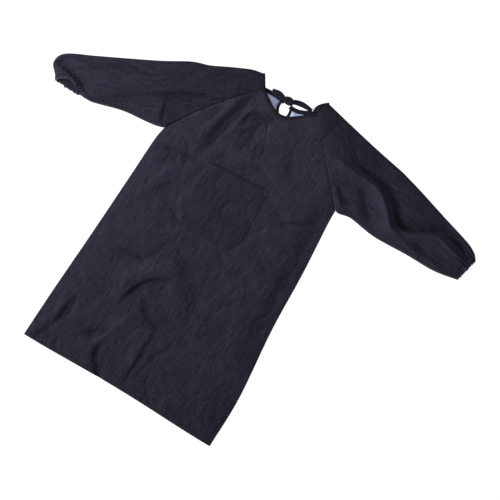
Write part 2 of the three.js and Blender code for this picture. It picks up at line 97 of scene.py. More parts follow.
# Body folds: path, half width left and right of the path, height, sharpness (2 is round, 1 a crease)
BODY_FOLDS = [
    ([(-95, 952), (-108, 920), (-114, 880), (-124, 830), (-134, 786), (-140, 736)], 10, 26, -13.0, 1.6),
    ([(-160, 868), (-170, 835), (-184, 800)], 6, 14, -2.4, 1.4),
    ([(-128, 925), (-142, 880), (-158, 830), (-172, 780)], 22, 15, 6.0, 1.8),
    ([(-89, 861), (-74, 887), (-49, 902), (-9, 916)], 9, 13, -15.0, 1.4),
    ([(-104, 878), (-84, 908), (-52, 926), (-10, 938)], 12, 7, 4.5, 1.4),
    ([(-9, 916), (31, 940), (62, 969)], 10, 5, -3.1, 1.4),
    ([(-44, 861), (-45, 812), (-63, 784)], 6, 16, -6.0, 1.2),
    ([(-46, 897), (-44, 871), (-67, 847), (-89, 833)], 16, 8, -5.2, 1.4),
    ([(-262, 684), (-211, 695), (-122, 707)], 5, 13, -8.0, 1.2),
    ([(-226, 686), (-221, 637)], 6, 14, -3.1, 1.5),
    ([(-214, 553), (-191, 583), (-169, 614)], 7, 13, -5.0, 1.4),
    ([(-122, 649), (-131, 613)], 6, 11, -2.5, 1.4),
    ([(-218, 594), (-203, 637), (-181, 658)], 12, 14, 2.8, 1.7),
    ([(-207, 361), (-161, 369), (-125, 377)], 4, 10, -6.0, 1.1),
    ([(-125, 377), (-103, 414), (-86, 472)], 12, 12, -2.8, 1.5),
    ([(-122, 240), (-108, 281), (-95, 306), (-71, 334), (-26, 361)], 5, 19, -9.0, 1.2),
    ([(-150, 262), (-138, 310), (-108, 350), (-60, 385)], 24, 20, 5.9, 1.9),
    ([(-71, 266), (-42, 235), (-4, 217), (20, 228), (30, 258)], 20, 8, -5.5, 1.6),
    ([(9, 208), (7, 148), (8, 91), (4, 17)], 10, 4, -5.0, 1.1),
    ([(-8, 190), (-10, 120), (-10, 60)], 16, 14, 3.1, 1.7),
    ([(-112, 90), (-104, 55), (-82, 28), (-62, 0), (-48, -30)], 15, 11, -10.0, 1.6),
    ([(-246, 185), (-240, 150), (-240, 116), (-251, 96)], 8, 13, -7.2, 1.5),
    ([(-238, 122), (-251, 98), (-264, 59), (-279, 17), (-290, -15)], 10, 12, -8.0, 1.5),
    ([(-272, 160), (-268, 100), (-262, 50)], 12, 12, 3.7, 1.7),
    ([(-179, 87), (-143, 113), (-102, 147)], 5, 12, -6.5, 1.2),
    ([(-78, 202), (-100, 150), (-120, 100), (-127, 66)], 13, 13, 5.2, 1.6),
    ([(-50, 418), (-19, 406), (8, 389)], 6, 12, -2.8, 1.2),
    ([(-21, 426), (22, 390), (61, 353), (75, 292)], 17, 30, -5.2, 1.9),
    ([(244, 770), (256, 682), (261, 549), (267, 415), (273, 303)], 10, 22, -5.8, 1.9),
    ([(150, 659), (197, 688), (251, 713)], 4, 10, -5.5, 1.1),
    ([(81, 864), (102, 822), (134, 787)], 10, 20, -3.7, 1.7),
    ([(-25, 739), (2, 762), (31, 776)], 6, 12, -3.1, 1.2),
    ([(-112, 713), (-45, 718), (20, 723), (84, 729)], 14, 3, -4.4, 1.2),
    ([(136, 562), (170, 541), (203, 520)], 6, 14, -2.9, 1.2),
]

# Fine wrinkles: wavelengths across and along, shares of the height, then the creases' turns in degrees
WRINKLE_WAVES = {"swell": (90, 120), "pucker": (14, 24), "warp": (80, 80), "line": (44, 150), "patch": (75, 95)}
SWELL_SHARE, PUCKER_SHARE = 0.7, 0.3
CREASE_TURNS = (25, 80, 145)
CREASE_DEPTH, CREASE_WIDTH, CREASE_WARP = 1.2, 0.11, 12
CREASE_PATCH = (0.0, 0.3)

# Sleeves, neck to casing: place along the raglan seam or None, seam x, y, fold x, y, dome height, gathers
SLEEVES = {
    "left": [
        (0, None, None, -120, 1015, 4, 0),
        (0.19, None, None, -149, 1008, 7, 0),
        (0.375, None, None, -206, 982, 9, 0),
        (0.56, None, None, -258, 956, 11, 0),
        (0.75, None, None, -311, 937, 13, 0),
        (1, None, None, -390, 892, 15, 0),
        (None, -404, 710, -492, 840, 15, 0),
        (None, -470, 692, -562, 805, 14, 0.3),
        (None, -500, 684, -640, 765, 13, 0.6),
        (None, -519, 683, -656, 727, 12, 0.8),
        (None, -540, 684, -633, 697, 11, 1.0),
    ],
    "right": [
        (0, None, None, 106, 1037, 4, 0),
        (0.375, None, None, 186, 1019, 9, 0),
        (0.75, None, None, 276, 1000, 13, 0),
        (1, None, None, 350, 986, 15, 0),
        (None, 326, 785, 392, 978, 16, 0),
        (None, 412, 774, 470, 957, 16, 0),
        (None, 520, 778, 556, 931, 15, 0.3),
        (None, 598, 778, 626, 911, 13, 1.4),
        (None, 641, 783, 666, 898, 12, 2.6),
        (None, 669, 789, 691, 884, 10, 3.2),
    ],
}
RAGLAN_STEPS = 8
FOLD_RADIUS = 2.4
DOME_POWER = 0.6
CUFF_RIM = {"left": ((-545, 680), (-625, 683)), "right": ((687, 793), (704, 868))}
CUFF_ARCH = {"left": 27, "right": 3}
ARCH_ROWS = {"left": 3, "right": 1}
RIM_ARCH = {"left": 24, "right": 1}
NECK_ARCH = {"left": 0, "right": 9}
NAPE_ARCH = {"left": 0, "right": 54}
NAPE_POWERS = (0.75, 1.5)

# Sleeve folds: same columns as the body's
SLEEVE_FOLDS = {
    "left": [
        ([(-484, 704), (-435, 737), (-388, 772), (-339, 805), (-275, 841), (-209, 874)], 9, 22, -6.4, 1.6),
        ([(-290, 732), (-303, 757), (-314, 798)], 2.5, 16, -3.4, 1.1),
        ([(-297, 730), (-310, 757), (-321, 798)], 20, 8, 3.8, 1.3),
        ([(-345, 802), (-290, 834), (-235, 866), (-190, 884)], 7, 14, -4.5, 1.4),
        ([(-654, 733), (-615, 733), (-583, 726), (-556, 719), (-520, 698)], 20, 10, -8.6, 1.6),
        ([(-640, 716), (-610, 717), (-584, 711), (-556, 703)], 9, 8, 3.2, 1.8),
        ([(-590, 767), (-509, 802), (-430, 843), (-371, 886)], 18, 18, -3.2, 1.9),
        ([(-476, 696), (-418, 715), (-351, 745)], 6, 12, -3.2, 1.4),
        ([(-560, 745), (-480, 770), (-400, 815), (-330, 850)], 16, 16, 3.4, 1.9),
        ([(-300, 900), (-220, 935), (-150, 960)], 18, 18, -2.5, 1.9),
    ],
    "right": [
        ([(170, 920), (244, 906), (301, 902), (342, 900), (383, 876), (417, 843), (440, 819), (472, 811),
          (526, 802)], 11, 24, 11.0, 1.6),
        ([(240, 938), (292, 929), (369, 915), (422, 884), (454, 845), (488, 842)], 20, 8, -9.5, 1.4),
        ([(440, 858), (468, 840), (499, 846), (542, 868), (585, 888), (640, 880), (672, 862)],
         18, 6, -16.5, 1.3),
        ([(190, 916), (244, 906), (301, 902), (342, 900), (383, 876), (417, 843), (440, 819), (472, 811)],
         4, 8, 3.0, 1.3),
        ([(245, 850), (271, 833), (312, 812)], 12, 14, -7.5, 1.5),
        ([(300, 885), (330, 858), (355, 832), (388, 800)], 13, 15, -8.0, 1.5),
        ([(236, 842), (258, 818), (284, 794)], 8, 9, 5.6, 1.6),
        ([(470, 826), (530, 846), (577, 866), (618, 860), (668, 844)], 6, 15, 8.5, 1.2),
        ([(520, 824), (550, 814), (583, 809), (650, 808)], 12, 9, -6.5, 1.4),
        ([(500, 790), (560, 795), (630, 797)], 6, 7, 3.6, 1.4),
        ([(150, 985), (260, 965), (380, 945)], 20, 20, -2.9, 1.9),
    ],
}
FOLD_FADE = 0.1
SLEEVE_WRINKLES = 0.9
LINED_ROWS = 22
# Edges rubbed pale with use, with a painted highlight: cells at the seam side of the closed sleeve rows take
# the paler denim
WORN_HIGHLIGHT_CELLS = 1

# Long seam of a sleeve: height, distance from the seam and half width of its ridge and its groove
SEAM_RIDGE = ((1.1, 7, 2.6), (-0.8, 12, 2.2))

# Casings: grooves of the stitching as depth, place along the casing and half width
CUFF_ROWS = 15
CUFF_LAP = 0.02
CUFF_GROOVES = ((0.8, 0.06, 0.09), (0.7, 0.62, 0.08))
CUFF_PINCH, CUFF_SWELL = 1.6, 1.2
CUFF_GATHER = {"left": 1.0, "right": 3.4}
CUFF_RUFFLE = {"left": 0.8, "right": 2.2}
CUFF_MAP_START = 600.0
# Rows at the top and bottom of the casing's rim, painted with the paler edge denim as a highlight
RIM_ROWS = (6, 6)
RIM_WAVE = {"left": 3.0, "right": 2.0}
RIM_FADE = 0.2
PLEATS, PLEAT_DRIFT = 9, 0.55
PLEAT_SEED = {"left": 0.3, "right": 0.8}
RIM_SEED = 0.55

# Pocket, in rows of the body's levels and shares of its width
POCKET_LEVELS = (2.75, 4.25)
POCKET_SHARES = (8 / 26, 17 / 26)
POCKET_CORNER = (0.25, 1 / 26)
POCKET_CLOTH = 0.6
POCKET_CELLS = 64
POCKET_SWELL = {"edge": 0.1, "middle": 0.5, "run": 9}
POCKET_MOUTH = {"height": 2.0, "rows": 8, "run": 12}

# Neck
BINDING, BACK_BINDING = 9, 12.5
KEYHOLE = {"x": -6, "y": 957, "half_width": 14.5, "half_height": 22, "tilt": 20}
KEYHOLE_BINDING = 8
KEYHOLE_FROM, KEYHOLE_TO = 130, 365
KEYHOLE_CLEAR = 3
KNOT = {"x": -7, "y": 985, "z": 5.4, "half_x": 19, "half_y": 13.5, "half_z": 5.2}
LOOP_PATH = [(-17.2, 984, 5), (-40, 986, 11), (-63, 986, 8)]
LOOP_BASE, LOOP_HEIGHT = 4.1, 5
TIE_RIGHT_PATH = [(-1, 987, 6), (14, 993, 8), (36, 997, 8), (66, 996, 5)]
TIE_LEFT_PATH = [(-15.2, 987, 4), (-40, 988, 6), (-58, 987, 6)]
TIE_WAVE = 0.35
KNOT_WRAP, KNOT_GROOVE, KNOT_CREASE = 0.1, 0.09, 0.03
BINDING_BLEND = 4
TAPE_LAP = 0.8

# Section of a bound edge: shares of its width and of its thickness below the outer face
TAPE_SECTION = [(0.0, 0.35), (0.06, 0.08), (0.2, 0.0), (0.5, -0.08), (0.8, 0.0), (0.94, 0.1), (1.0, 0.4),
                (0.97, 0.8), (0.85, 1.0), (0.5, 1.0), (0.15, 1.0), (0.03, 0.85)]

# Stitches: distance in from the edge, lift above the cloth, and the tacks as rows and columns of the pocket
STITCH_PITCH, STITCH_LENGTH, STITCH_WIDTH = 0.0032, 0.0024, 0.0006
STITCH_SEED = 4
RAGLAN_STITCH, NECK_STITCH = 4.5, 2.2
POCKET_STITCHES = (2, 4)
MOUTH_STITCH = 5
STITCH_LIFT = {"body": 0.15, "pocket": 0.7, "mouth": 1.5, "tack": 1.4}
TACKS = ((62, 2), (62, 62), (18, 2))
TACK_HALF, TACK_SLANT, TACK_PITCH = 3.5, 0.18, 0.5
TACK_ROWS = (-0.7, 0.0, 0.7)

# Denim: frequency per metre across and along the warp, detail, shift, then low, high and weight in the colour
DENIM_YARNS = {
    "fine": (270, 20, 3, 0.0, 0.32, 0.68, 0.46),
    "broad": (140, 8, 2, 5.3, 0.3, 0.7, 0.14),
    "slub": (460, 120, 2, 11.9, 0.36, 0.7, 0.32),
    "weft": (60, 360, 2, 17.1, 0.32, 0.68, 0.28),
}
DENIM_CLOUD = (17, 13, 3, 23.7)
CLOUD_WEIGHT = 0.36
# Colour along the map's v: darker towards the hem and paler towards the neck on the body, darker at the neck
# end of the sleeves; its weight and the v in metres where it adds nothing
V_GRADIENT_WEIGHT, V_GRADIENT_MIDDLE = 0.3, 0.72
DENIM_RANGE = (0.1, 1.1)
TWILL_PITCH, TWILL_SLANT = 0.0021, 0.9
WEAVE_DEPTH, WRONG_SIDE_DEPTH = 0.0006, 0.0005
# Copies of the denim, paler or darker: the pocket's own darker tone, rubbed edges that also carry a painted
# highlight, and a painted shadow
DENIM_SHADES = {"denim_right_side": 1.0, "denim_pocket": 0.82, "denim_worn_edge_highlight": 1.6, "denim_painted_shadow": 0.45}
WRONG_SIDE_PALE, TAPE_PALE, THREAD_PALE = 1.4, 2.6, 1.8
CLOTH_FINISHES = ("denim_right_side", "denim_wrong_side")
CLOTH_UV = "Cloth"

# Painted shade over the folds, darker in valleys and paler on ridges: the attribute that holds it, its strength
# on the body and its weight in the colour
FOLD_SHADE_ATTRIBUTE = "Painted fold shade"
BODY_FOLD_SHADE, BODY_FOLD_SHADE_POWER = 2.4, 0.7
FOLD_SHADE_PER_MM = 0.1
FOLD_SHADE_WEIGHT = 0.2

# Mesh density
CELL = 4.0
TUBE_CELL = 3.2
BODY_CELLS, RAGLAN_CELLS = round(620 / CELL), round(300 / CELL)
SLEEVE_TOP_CELLS, SLEEVE_ARC_CELLS, SLEEVE_BOTTOM_CELLS = 64, 8, 20
BACK_NECK_CELLS, FRONT_NECK_CELLS = 90, 120
BACK_ROWS, BACK_COLUMNS, BACK_HEM_CELLS = 60, 34, 60
BACK_EDGE_STEP, BACK_SHORTEST_EDGE = 3, 0.2
SLIT_CELLS, SLIT_BINDING_CELLS = 36, 48
TIE_CELLS, LOOP_CELLS = (10, 8), (12, 12)

# Camera: picture centre from the middle of the hem, its width there, turn and height
PICTURE_CENTRE = (121.5, 553.2)
PICTURE_WIDTH = 1465.0
PICTURE_TURN = 31.17
CAMERA_HEIGHT = 6.0
SENSOR = 36.0

# Lights: place across and up the picture and height in metres, size in metres, power in watts
LIGHTS = {
    "key_light": (-3.8, 0.3, 2.2, 1.5, 400),
    "top_light": (-0.5, 1.9, 3.4, 3.0, 104),
    "back_light": (-0.6, 2.6, 2.2, 2.0, 20),
}
SKY_STRENGTH = 0.22
FLOOR_REACH, FLOOR_DROP, FLOOR_GLOW = 9.0, 0.0004, 0.92


class SmockSizes(bpy.types.PropertyGroup):
    body_loft: bpy.props.FloatProperty(
        name="Body Loft", description="Height of the front above the side seams",
        default=0.009, min=0.002, max=0.02, unit="LENGTH")
    wrinkle_height: bpy.props.FloatProperty(
        name="Wrinkle Height", description="Height of the fine wrinkles all over the cloth",
        default=0.0021, min=0.0, max=0.004, unit="LENGTH")
    stitch_pitch: bpy.props.FloatProperty(
        name="Stitch Pitch", description="Distance from one stitch to the next",
        default=STITCH_PITCH, min=0.001, max=0.01, unit="LENGTH")
    stitch_length: bpy.props.FloatProperty(
        name="Stitch Length", description="Length of one stitch",
        default=STITCH_LENGTH, min=0.0005, max=0.01, unit="LENGTH")
    stitch_width: bpy.props.FloatProperty(
        name="Stitch Width", description="Thickness of the sewing thread",
        default=STITCH_WIDTH, min=0.0002, max=0.002, unit="LENGTH")


class SmockColours(bpy.types.PropertyGroup):
    denim: bpy.props.FloatVectorProperty(
        name="Denim", description="Ground colour of the denim's right side",
        default=(0.0056, 0.0051, 0.0088), size=3, min=0.0, max=1.0, subtype="COLOR")
    streak: bpy.props.FloatVectorProperty(
        name="Streak", description="Colour of the pale slub streaks",
        default=(0.0222, 0.0205, 0.0340), size=3, min=0.0, max=1.0, subtype="COLOR")
    wrong_side: bpy.props.FloatVectorProperty(
        name="Wrong Side", description="Colour of the denim's pale inner face",
        default=(0.20, 0.25, 0.36), size=3, min=0.0, max=1.0, subtype="COLOR")
    tape: bpy.props.FloatVectorProperty(
        name="Tape", description="Colour of the bindings and the ties",
        default=(0.0042, 0.0040, 0.0064), size=3, min=0.0, max=1.0, subtype="COLOR")
    thread: bpy.props.FloatVectorProperty(
        name="Thread", description="Colour of the sewing thread",
        default=(0.010, 0.0095, 0.0158), size=3, min=0.0, max=1.0, subtype="COLOR")
    floor: bpy.props.FloatVectorProperty(
        name="Floor", description="Colour of the surface under the garment",
        default=(0.12, 0.12, 0.12), size=3, min=0.0, max=1.0, subtype="COLOR")


def lerp(a, b, share):
    return a + (b - a) * share


def smoothstep(value, low, high):
    share = np.clip((value - low) / (high - low), 0, 1)
    return share * share * (3 - 2 * share)


def bulge(share):
    """0 at both ends and 1 in the middle."""
    return 4 * share * (1 - share)


def end_fade(share, run):
    """1 along the middle, falling to 0 over a run at both ends."""
    return smoothstep(share, 0, run) * smoothstep(1 - share, 0, run)


def ridges(place, table):
    """Height that rows of height, middle and half width add at places."""
    return sum(height * np.exp(-((place - middle) / half) ** 2) for height, middle, half in table)


def running_length(points):
    """Length of a path up to each of its points."""
    return np.concatenate([[0], np.cumsum(np.linalg.norm(np.diff(points, axis=0), axis=1))])


def smooth_rows(rows, places):
    """Rows of values at fractional places, on smooth curves through all of them."""
    rows = np.asarray(rows, float)
    places = np.clip(np.asarray(places, float), 0, len(rows) - 1)
    ends = np.vstack([2 * rows[:1] - rows[1:2], rows, 2 * rows[-1:] - rows[-2:-1]])
    start = np.minimum(places.astype(int), len(rows) - 2)
    t = (places - start)[:, None]
    p0, p1, p2, p3 = (ends[start + k] for k in range(4))
    return 0.5 * (2 * p1 + (p2 - p0) * t + (2 * p0 - 5 * p1 + 4 * p2 - p3) * t ** 2
                  + (3 * p1 - p0 - 3 * p2 + p3) * t ** 3)


def smooth_path(points, steps):
    """A finer path through a short list of points."""
    return smooth_rows(points, np.linspace(0, len(points) - 1, (len(points) - 1) * steps + 1))


def path_distance(x, y, path):
    """Signed distance of plan points from a path, positive on its left, and the share of it passed."""
    best = np.full(x.shape, np.inf)
    sign = np.ones(x.shape)
    passed = np.zeros(x.shape)
    lengths = np.hypot(*np.diff(path, axis=0).T)
    total = lengths.sum()
    done = 0.0
    for (x0, y0), (x1, y1), length in zip(path[:-1], path[1:], lengths):
        dx, dy = (x1 - x0) / length, (y1 - y0) / length
        along = np.clip((x - x0) * dx + (y - y0) * dy, 0, length)
        away = np.hypot(x - x0 - along * dx, y - y0 - along * dy)
        nearer = away < best
        best = np.where(nearer, away, best)
        sign = np.where(nearer, np.sign(dx * (y - y0) - dy * (x - x0)), sign)
        passed = np.where(nearer, (done + along) / total, passed)
        done += length
    return best * sign, passed


def fold_field(x, y, folds):
    """Height that a table of folds adds at plan points."""
    height = np.zeros(x.shape)
    for points, left, right, top, sharp in folds:
        path = smooth_path(points, FOLD_STEPS)
        reach = FOLD_REACH * max(left, right)
        low, high = path.min(axis=0) - reach, path.max(axis=0) + reach
        near = (x > low[0]) & (x < high[0]) & (y > low[1]) & (y < high[1])
        if not near.any():
            continue
        away, passed = path_distance(x[near], y[near], path)
        half = np.where(away > 0, left, right)
        fade = smoothstep(passed, *FOLD_ENDS) * smoothstep(1 - passed, *FOLD_ENDS)
        height[near] += top * fade * np.exp(-np.abs(away / half) ** sharp)
    return height


def noise_field(x, y, wave_x, wave_y, seed):
    """Smooth noise over plan points with its own wavelength along each axis."""
    values = [noise.noise((a, b, seed)) for a, b in zip(np.ravel(x) / wave_x, np.ravel(y) / wave_y)]
    return np.array(values).reshape(np.shape(x))


def wrinkle_field(across, along, seed):
    """Fine wrinkles of washed cloth, about one high: swells, puckers and broken creases three ways."""
    swell = noise_field(across, along, *WRINKLE_WAVES["swell"], seed)
    pucker = noise_field(across, along, *WRINKLE_WAVES["pucker"], seed + 17.3)
    height = SWELL_SHARE * swell + PUCKER_SHARE * pucker
    for turn in CREASE_TURNS:
        cos, sin = math.cos(math.radians(turn)), math.sin(math.radians(turn))
        u, v = across * cos + along * sin, along * cos - across * sin
        warp = CREASE_WARP * noise_field(u, v, *WRINKLE_WAVES["warp"], seed + turn)
        line = np.abs(noise_field(u + warp, v, *WRINKLE_WAVES["line"], seed + turn + 9.1))
        where = smoothstep(noise_field(u, v, *WRINKLE_WAVES["patch"], seed + turn + 5.9), *CREASE_PATCH)
        height -= CREASE_DEPTH * where * np.exp(-line / CREASE_WIDTH)
    return height


def body_edges():
    """Both body edges from hem to neck, with the level of each row."""
    side_levels = []
    for index, length in enumerate(np.hypot(*np.diff(BODY_LEVELS[:, :2], axis=0).T)):
        side_levels.append(np.linspace(index, index + 1, max(3, round(length / CELL)), endpoint=False))
    side_levels = np.concatenate(side_levels)
    sides = smooth_rows(BODY_LEVELS, side_levels)
    raglan_share = np.linspace(0, 1, RAGLAN_CELLS + 1)
    edges = {}
    for column, side in ((0, "left"), (2, "right")):
        raglan = raglan_points(side, raglan_share)
        raglan[:, 0] -= OUTWARD[side] * SEAM_SHIFT
        edges[side] = np.vstack([sides[:, column:column + 2], raglan])
    last = len(BODY_LEVELS) - 1
    return edges["left"], edges["right"], np.concatenate([side_levels, last + raglan_share])


def raglan_points(side, share):
    """Points of a raglan seam from the underarm, at 0, to the neck, at 1."""
    column = 0 if side == "left" else 2
    underarm = BODY_LEVELS[-1, column:column + 2]
    neck = np.array(RAGLAN_TOP[side], float)
    bend = np.array([OUTWARD[side], 1]) / math.sqrt(2) * 2 * RAGLAN_BULGE[side]
    middle = (underarm + neck) / 2 + bend
    t = np.asarray(share, float)[:, None]
    return (1 - t) ** 2 * underarm + 2 * t * (1 - t) * middle + t ** 2 * neck


def front_sag(share):
    return FRONT_DROP * np.sin(np.pi * share) ** FRONT_NECK_POWER


def back_sag(share):
    return BACK_DROP * np.sin(np.pi * share ** BACK_NECK_SKEW) ** 2


def body_plan(level, share, sag):
    """Plan points of the body at levels from the hem and shares from its left edge to its right."""
    edge_left, edge_right, edge_level = BODY_EDGES
    left = np.stack([np.interp(level, edge_level, edge_left[:, k]) for k in (0, 1)], -1)
    right = np.stack([np.interp(level, edge_level, edge_right[:, k]) for k in (0, 1)], -1)
    point = left + (right - left) * share[..., None]
    hemward = np.clip(1 - level, 0, 1)
    neckward = np.clip(level - (len(BODY_LEVELS) - 1), 0, 1)
    point[..., 1] += HEM_RISE * hemward * np.sin(np.pi * share) ** 2 - neckward ** 2 * sag(share)
    return point


BODY_EDGES = body_edges()
SIDE_CURVE = smooth_rows(BODY_LEVELS, np.linspace(0, len(BODY_LEVELS) - 1, 60))
RAGLAN_LINES = {side: raglan_points(side, np.linspace(0, 1, 24)) for side in OUTWARD}


def front_height(x, y):
    """Height of the front's outer face at plan points."""
    sizes = bpy.context.scene.smock_sizes
    left = np.interp(y, SIDE_CURVE[:, 1], SIDE_CURVE[:, 0])
    right = np.interp(y, SIDE_CURVE[:, 3], SIDE_CURVE[:, 2])
    inset = np.minimum(x - left, right - x)
    rise = 1 - (1 - np.clip(inset / EDGE_RUN, 0, 1)) ** 2
    wrinkles = sizes.wrinkle_height / MM * wrinkle_field(x, y, 2.0)
    height = SIDE_TOP + rise * (sizes.body_loft / MM + fold_field(x, y, BODY_FOLDS) + wrinkles)
    for line in RAGLAN_LINES.values():
        away, passed = path_distance(x, y, line)
        depth = lerp(RAGLAN_GROOVE["underarm"], RAGLAN_GROOVE["neck"], passed)
        height -= depth * np.exp(-(away / RAGLAN_GROOVE["half"]) ** 2)
    groove = HEM_GROOVE * np.exp(-((y - HEM_DEPTH) / HEM_GROOVE_HALF) ** 2)
    hem = smoothstep(HEM_DEPTH + 1 - y, 0, 2) * HEM_TURN - groove
    return np.maximum(height + hem * rise, SIDE_TOP)


class Field:
    """A socket of a node tree. Arithmetic on it adds Math nodes."""

    def __init__(self, tree, socket):
        self.tree = tree
        self.socket = socket

    def _math(self, operation, *values):
        node = self.tree.nodes.new("ShaderNodeMath")
        node.operation = operation
        for socket, value in zip(node.inputs, values):
            feed(self.tree, socket, value)
        return Field(self.tree, node.outputs[0])

    def __add__(self, other):
        return self._math("ADD", self, other)

    __radd__ = __add__

    def __sub__(self, other):
        return self._math("SUBTRACT", self, other)

    def __rsub__(self, other):
        return self._math("SUBTRACT", other, self)

    def __mul__(self, other):
        return self._math("MULTIPLY", self, other)

    __rmul__ = __mul__

    def sine(self):
        return self._math("SINE", self)

    def between(self, low, high):
        """0 below low, 1 above high, and a straight rise between them."""
        share = (self - low) * (1 / (high - low))
        share.socket.node.use_clamp = True
        return share


def feed(tree, socket, value):
    """Links a field to a socket, or sets the socket's own value."""
    if isinstance(value, Field):
        tree.links.new(value.socket, socket)
    else:
        socket.default_value = value


class Builder:
    """Adds nodes to one tree."""

    def __init__(self, tree):
        self.tree = tree

    def add(self, kind, settings=None, inputs=None, output=0):
        """One node: its settings first, then the values or links of its sockets."""
        node = self.tree.nodes.new(kind)
        for name, value in (settings or {}).items():
            setattr(node, name, value)
        for key, value in (inputs or {}).items():
            feed(self.tree, node.inputs[key], value)
        return Field(self.tree, node.outputs[output])


def new_finish(name):
    """A new material with its node builder and its shader's sockets."""
    material = bpy.data.materials.new(name)
    material.use_nodes = True
    shader = material.node_tree.nodes["Principled BSDF"]
    return material, Builder(material.node_tree), shader.inputs


def stretched_noise(build, uv, across, along, detail, shift):
    """Noise on the cloth's own map, with a frequency per metre across and along the warp."""
    place = build.add("ShaderNodeMapping", None,
                      {"Vector": uv, "Location": (shift, shift * 0.37, 0), "Scale": (across, along, 1)})
    return build.add("ShaderNodeTexNoise", None,
                     {"Vector": place, "Scale": 1.0, "Detail": detail, "Roughness": 0.55})


def shaded(colour, share):
    """A colour made paler or darker."""
    return tuple(min(1.0, value * share) for value in colour)


def colour_mix(build, share, first, second):
    """A colour between two colours."""
    return build.add("ShaderNodeMix", {"data_type": "RGBA"}, {0: share, 6: first, 7: second}, 2)


def denim_finish(name, ground, streak, weave_depth):
    """Denim whose warp runs along v of the cloth's map: slub streaks, broken weft and a twill line."""
    material, build, shader = new_finish(name)
    uv = build.add("ShaderNodeUVMap", {"uv_map": CLOTH_UV})
    across = build.add("ShaderNodeSeparateXYZ", None, {"Vector": uv})
    along = Field(build.tree, across.socket.node.outputs["Y"])
    cloud = stretched_noise(build, uv, *DENIM_CLOUD)
    # Painted shade over the folds: the fold attribute makes the colour darker in valleys and paler on ridges
    fold_shade = build.add("ShaderNodeAttribute", {"attribute_name": FOLD_SHADE_ATTRIBUTE}, None, 2)
    share = (cloud - 0.5) * CLOUD_WEIGHT + (along - V_GRADIENT_MIDDLE) * V_GRADIENT_WEIGHT + fold_shade * FOLD_SHADE_WEIGHT
    yarns = {}
    for yarn, (*pattern, low, high, weight) in DENIM_YARNS.items():
        yarns[yarn] = stretched_noise(build, uv, *pattern)
        share = share + yarns[yarn].between(low, high) * weight
    share = share.between(*DENIM_RANGE)
    twill = ((across * TWILL_SLANT + along) * (2 * math.pi / TWILL_PITCH)).sine()
    feed(build.tree, shader["Base Color"], colour_mix(build, share, (*ground, 1), (*streak, 1)))
    feed(build.tree, shader["Roughness"], 0.95 - share * 0.12)
    shader["Specular IOR Level"].default_value = 0.05
    shader["Sheen Weight"].default_value = 0.02
    shader["Sheen Roughness"].default_value = 0.5
    height = twill * 0.35 + yarns["fine"] * 0.7 + yarns["slub"] * 0.5
    bump = build.add("ShaderNodeBump", None,
                     {"Strength": 0.5, "Distance": weave_depth, "Height": height})
    feed(build.tree, shader["Normal"], bump)
    return material


def tape_finish(name, ground):
    """Bias tape: a close plain weave across its own map."""
    material, build, shader = new_finish(name)
    uv = build.add("ShaderNodeUVMap", {"uv_map": CLOTH_UV})
    thread = stretched_noise(build, uv, 900, 160, 2, 1.7)
    cloud = stretched_noise(build, uv, 60, 60, 2, 8.3)
    share = thread.between(0.35, 0.75) * 0.6 + cloud.between(0.3, 0.7) * 0.4
    pale = shaded(ground, TAPE_PALE)
    feed(build.tree, shader["Base Color"], colour_mix(build, share, (*ground, 1), (*pale, 1)))
    feed(build.tree, shader["Roughness"], 0.92 - share * 0.12)
    shader["Specular IOR Level"].default_value = 0.06
    bump = build.add("ShaderNodeBump", None, {"Strength": 0.45, "Distance": 0.0004, "Height": thread})
    feed(build.tree, shader["Normal"], bump)
    return material


def thread_finish(name, ground):
    """Twisted sewing thread on Object coordinates."""
    material, build, shader = new_finish(name)
    place = build.add("ShaderNodeTexCoord", None, None, "Object")
    twist = build.add("ShaderNodeTexNoise", None, {"Vector": place, "Scale": 1400.0, "Detail": 2.0})
    pale = shaded(ground, THREAD_PALE)
    feed(build.tree, shader["Base Color"], colour_mix(build, twist, (*ground, 1), (*pale, 1)))
    feed(build.tree, shader["Roughness"], 0.8 - twist * 0.2)
    shader["Specular IOR Level"].default_value = 0.3
    return material


def finish_named(name):
    """The material of that name, made from the scene's colours on first use."""
    if name in bpy.data.materials:
        return bpy.data.materials[name]
    colours = bpy.context.scene.smock_colours
    if name in DENIM_SHADES:
        ground, streak = (shaded(colour, DENIM_SHADES[name]) for colour in (colours.denim, colours.streak))
        return denim_finish(name, ground, streak, WEAVE_DEPTH)
    makers = {
        "denim_wrong_side": lambda: denim_finish(
            name, colours.wrong_side, shaded(colours.wrong_side, WRONG_SIDE_PALE), WRONG_SIDE_DEPTH),
        "bias_tape": lambda: tape_finish(name, colours.tape),
        "sewing_thread": lambda: thread_finish(name, colours.thread),
    }
    return makers[name]()


def grid_faces(rows, columns):
    """Cells of a sheet whose points are listed row by row."""
    corner = np.arange((rows - 1) * columns).reshape(rows - 1, columns)[:, :-1]
    return np.stack([corner, corner + 1, corner + columns + 1, corner + columns], -1).reshape(-1, 4)


def ring_faces(columns, heights):
    """Cells of a closed band whose points are listed ring by ring, with a map that is a column wide."""
    faces, corner_uv = [], []
    for i, (low, high) in enumerate(zip(heights[:-1], heights[1:])):
        for j in range(columns):
            k = (j + 1) % columns
            faces.append([i * columns + j, i * columns + k, (i + 1) * columns + k, (i + 1) * columns + j])
            corner_uv += [(j, low), (j + 1, low), (j + 1, high), (j, high)]
    return faces, corner_uv


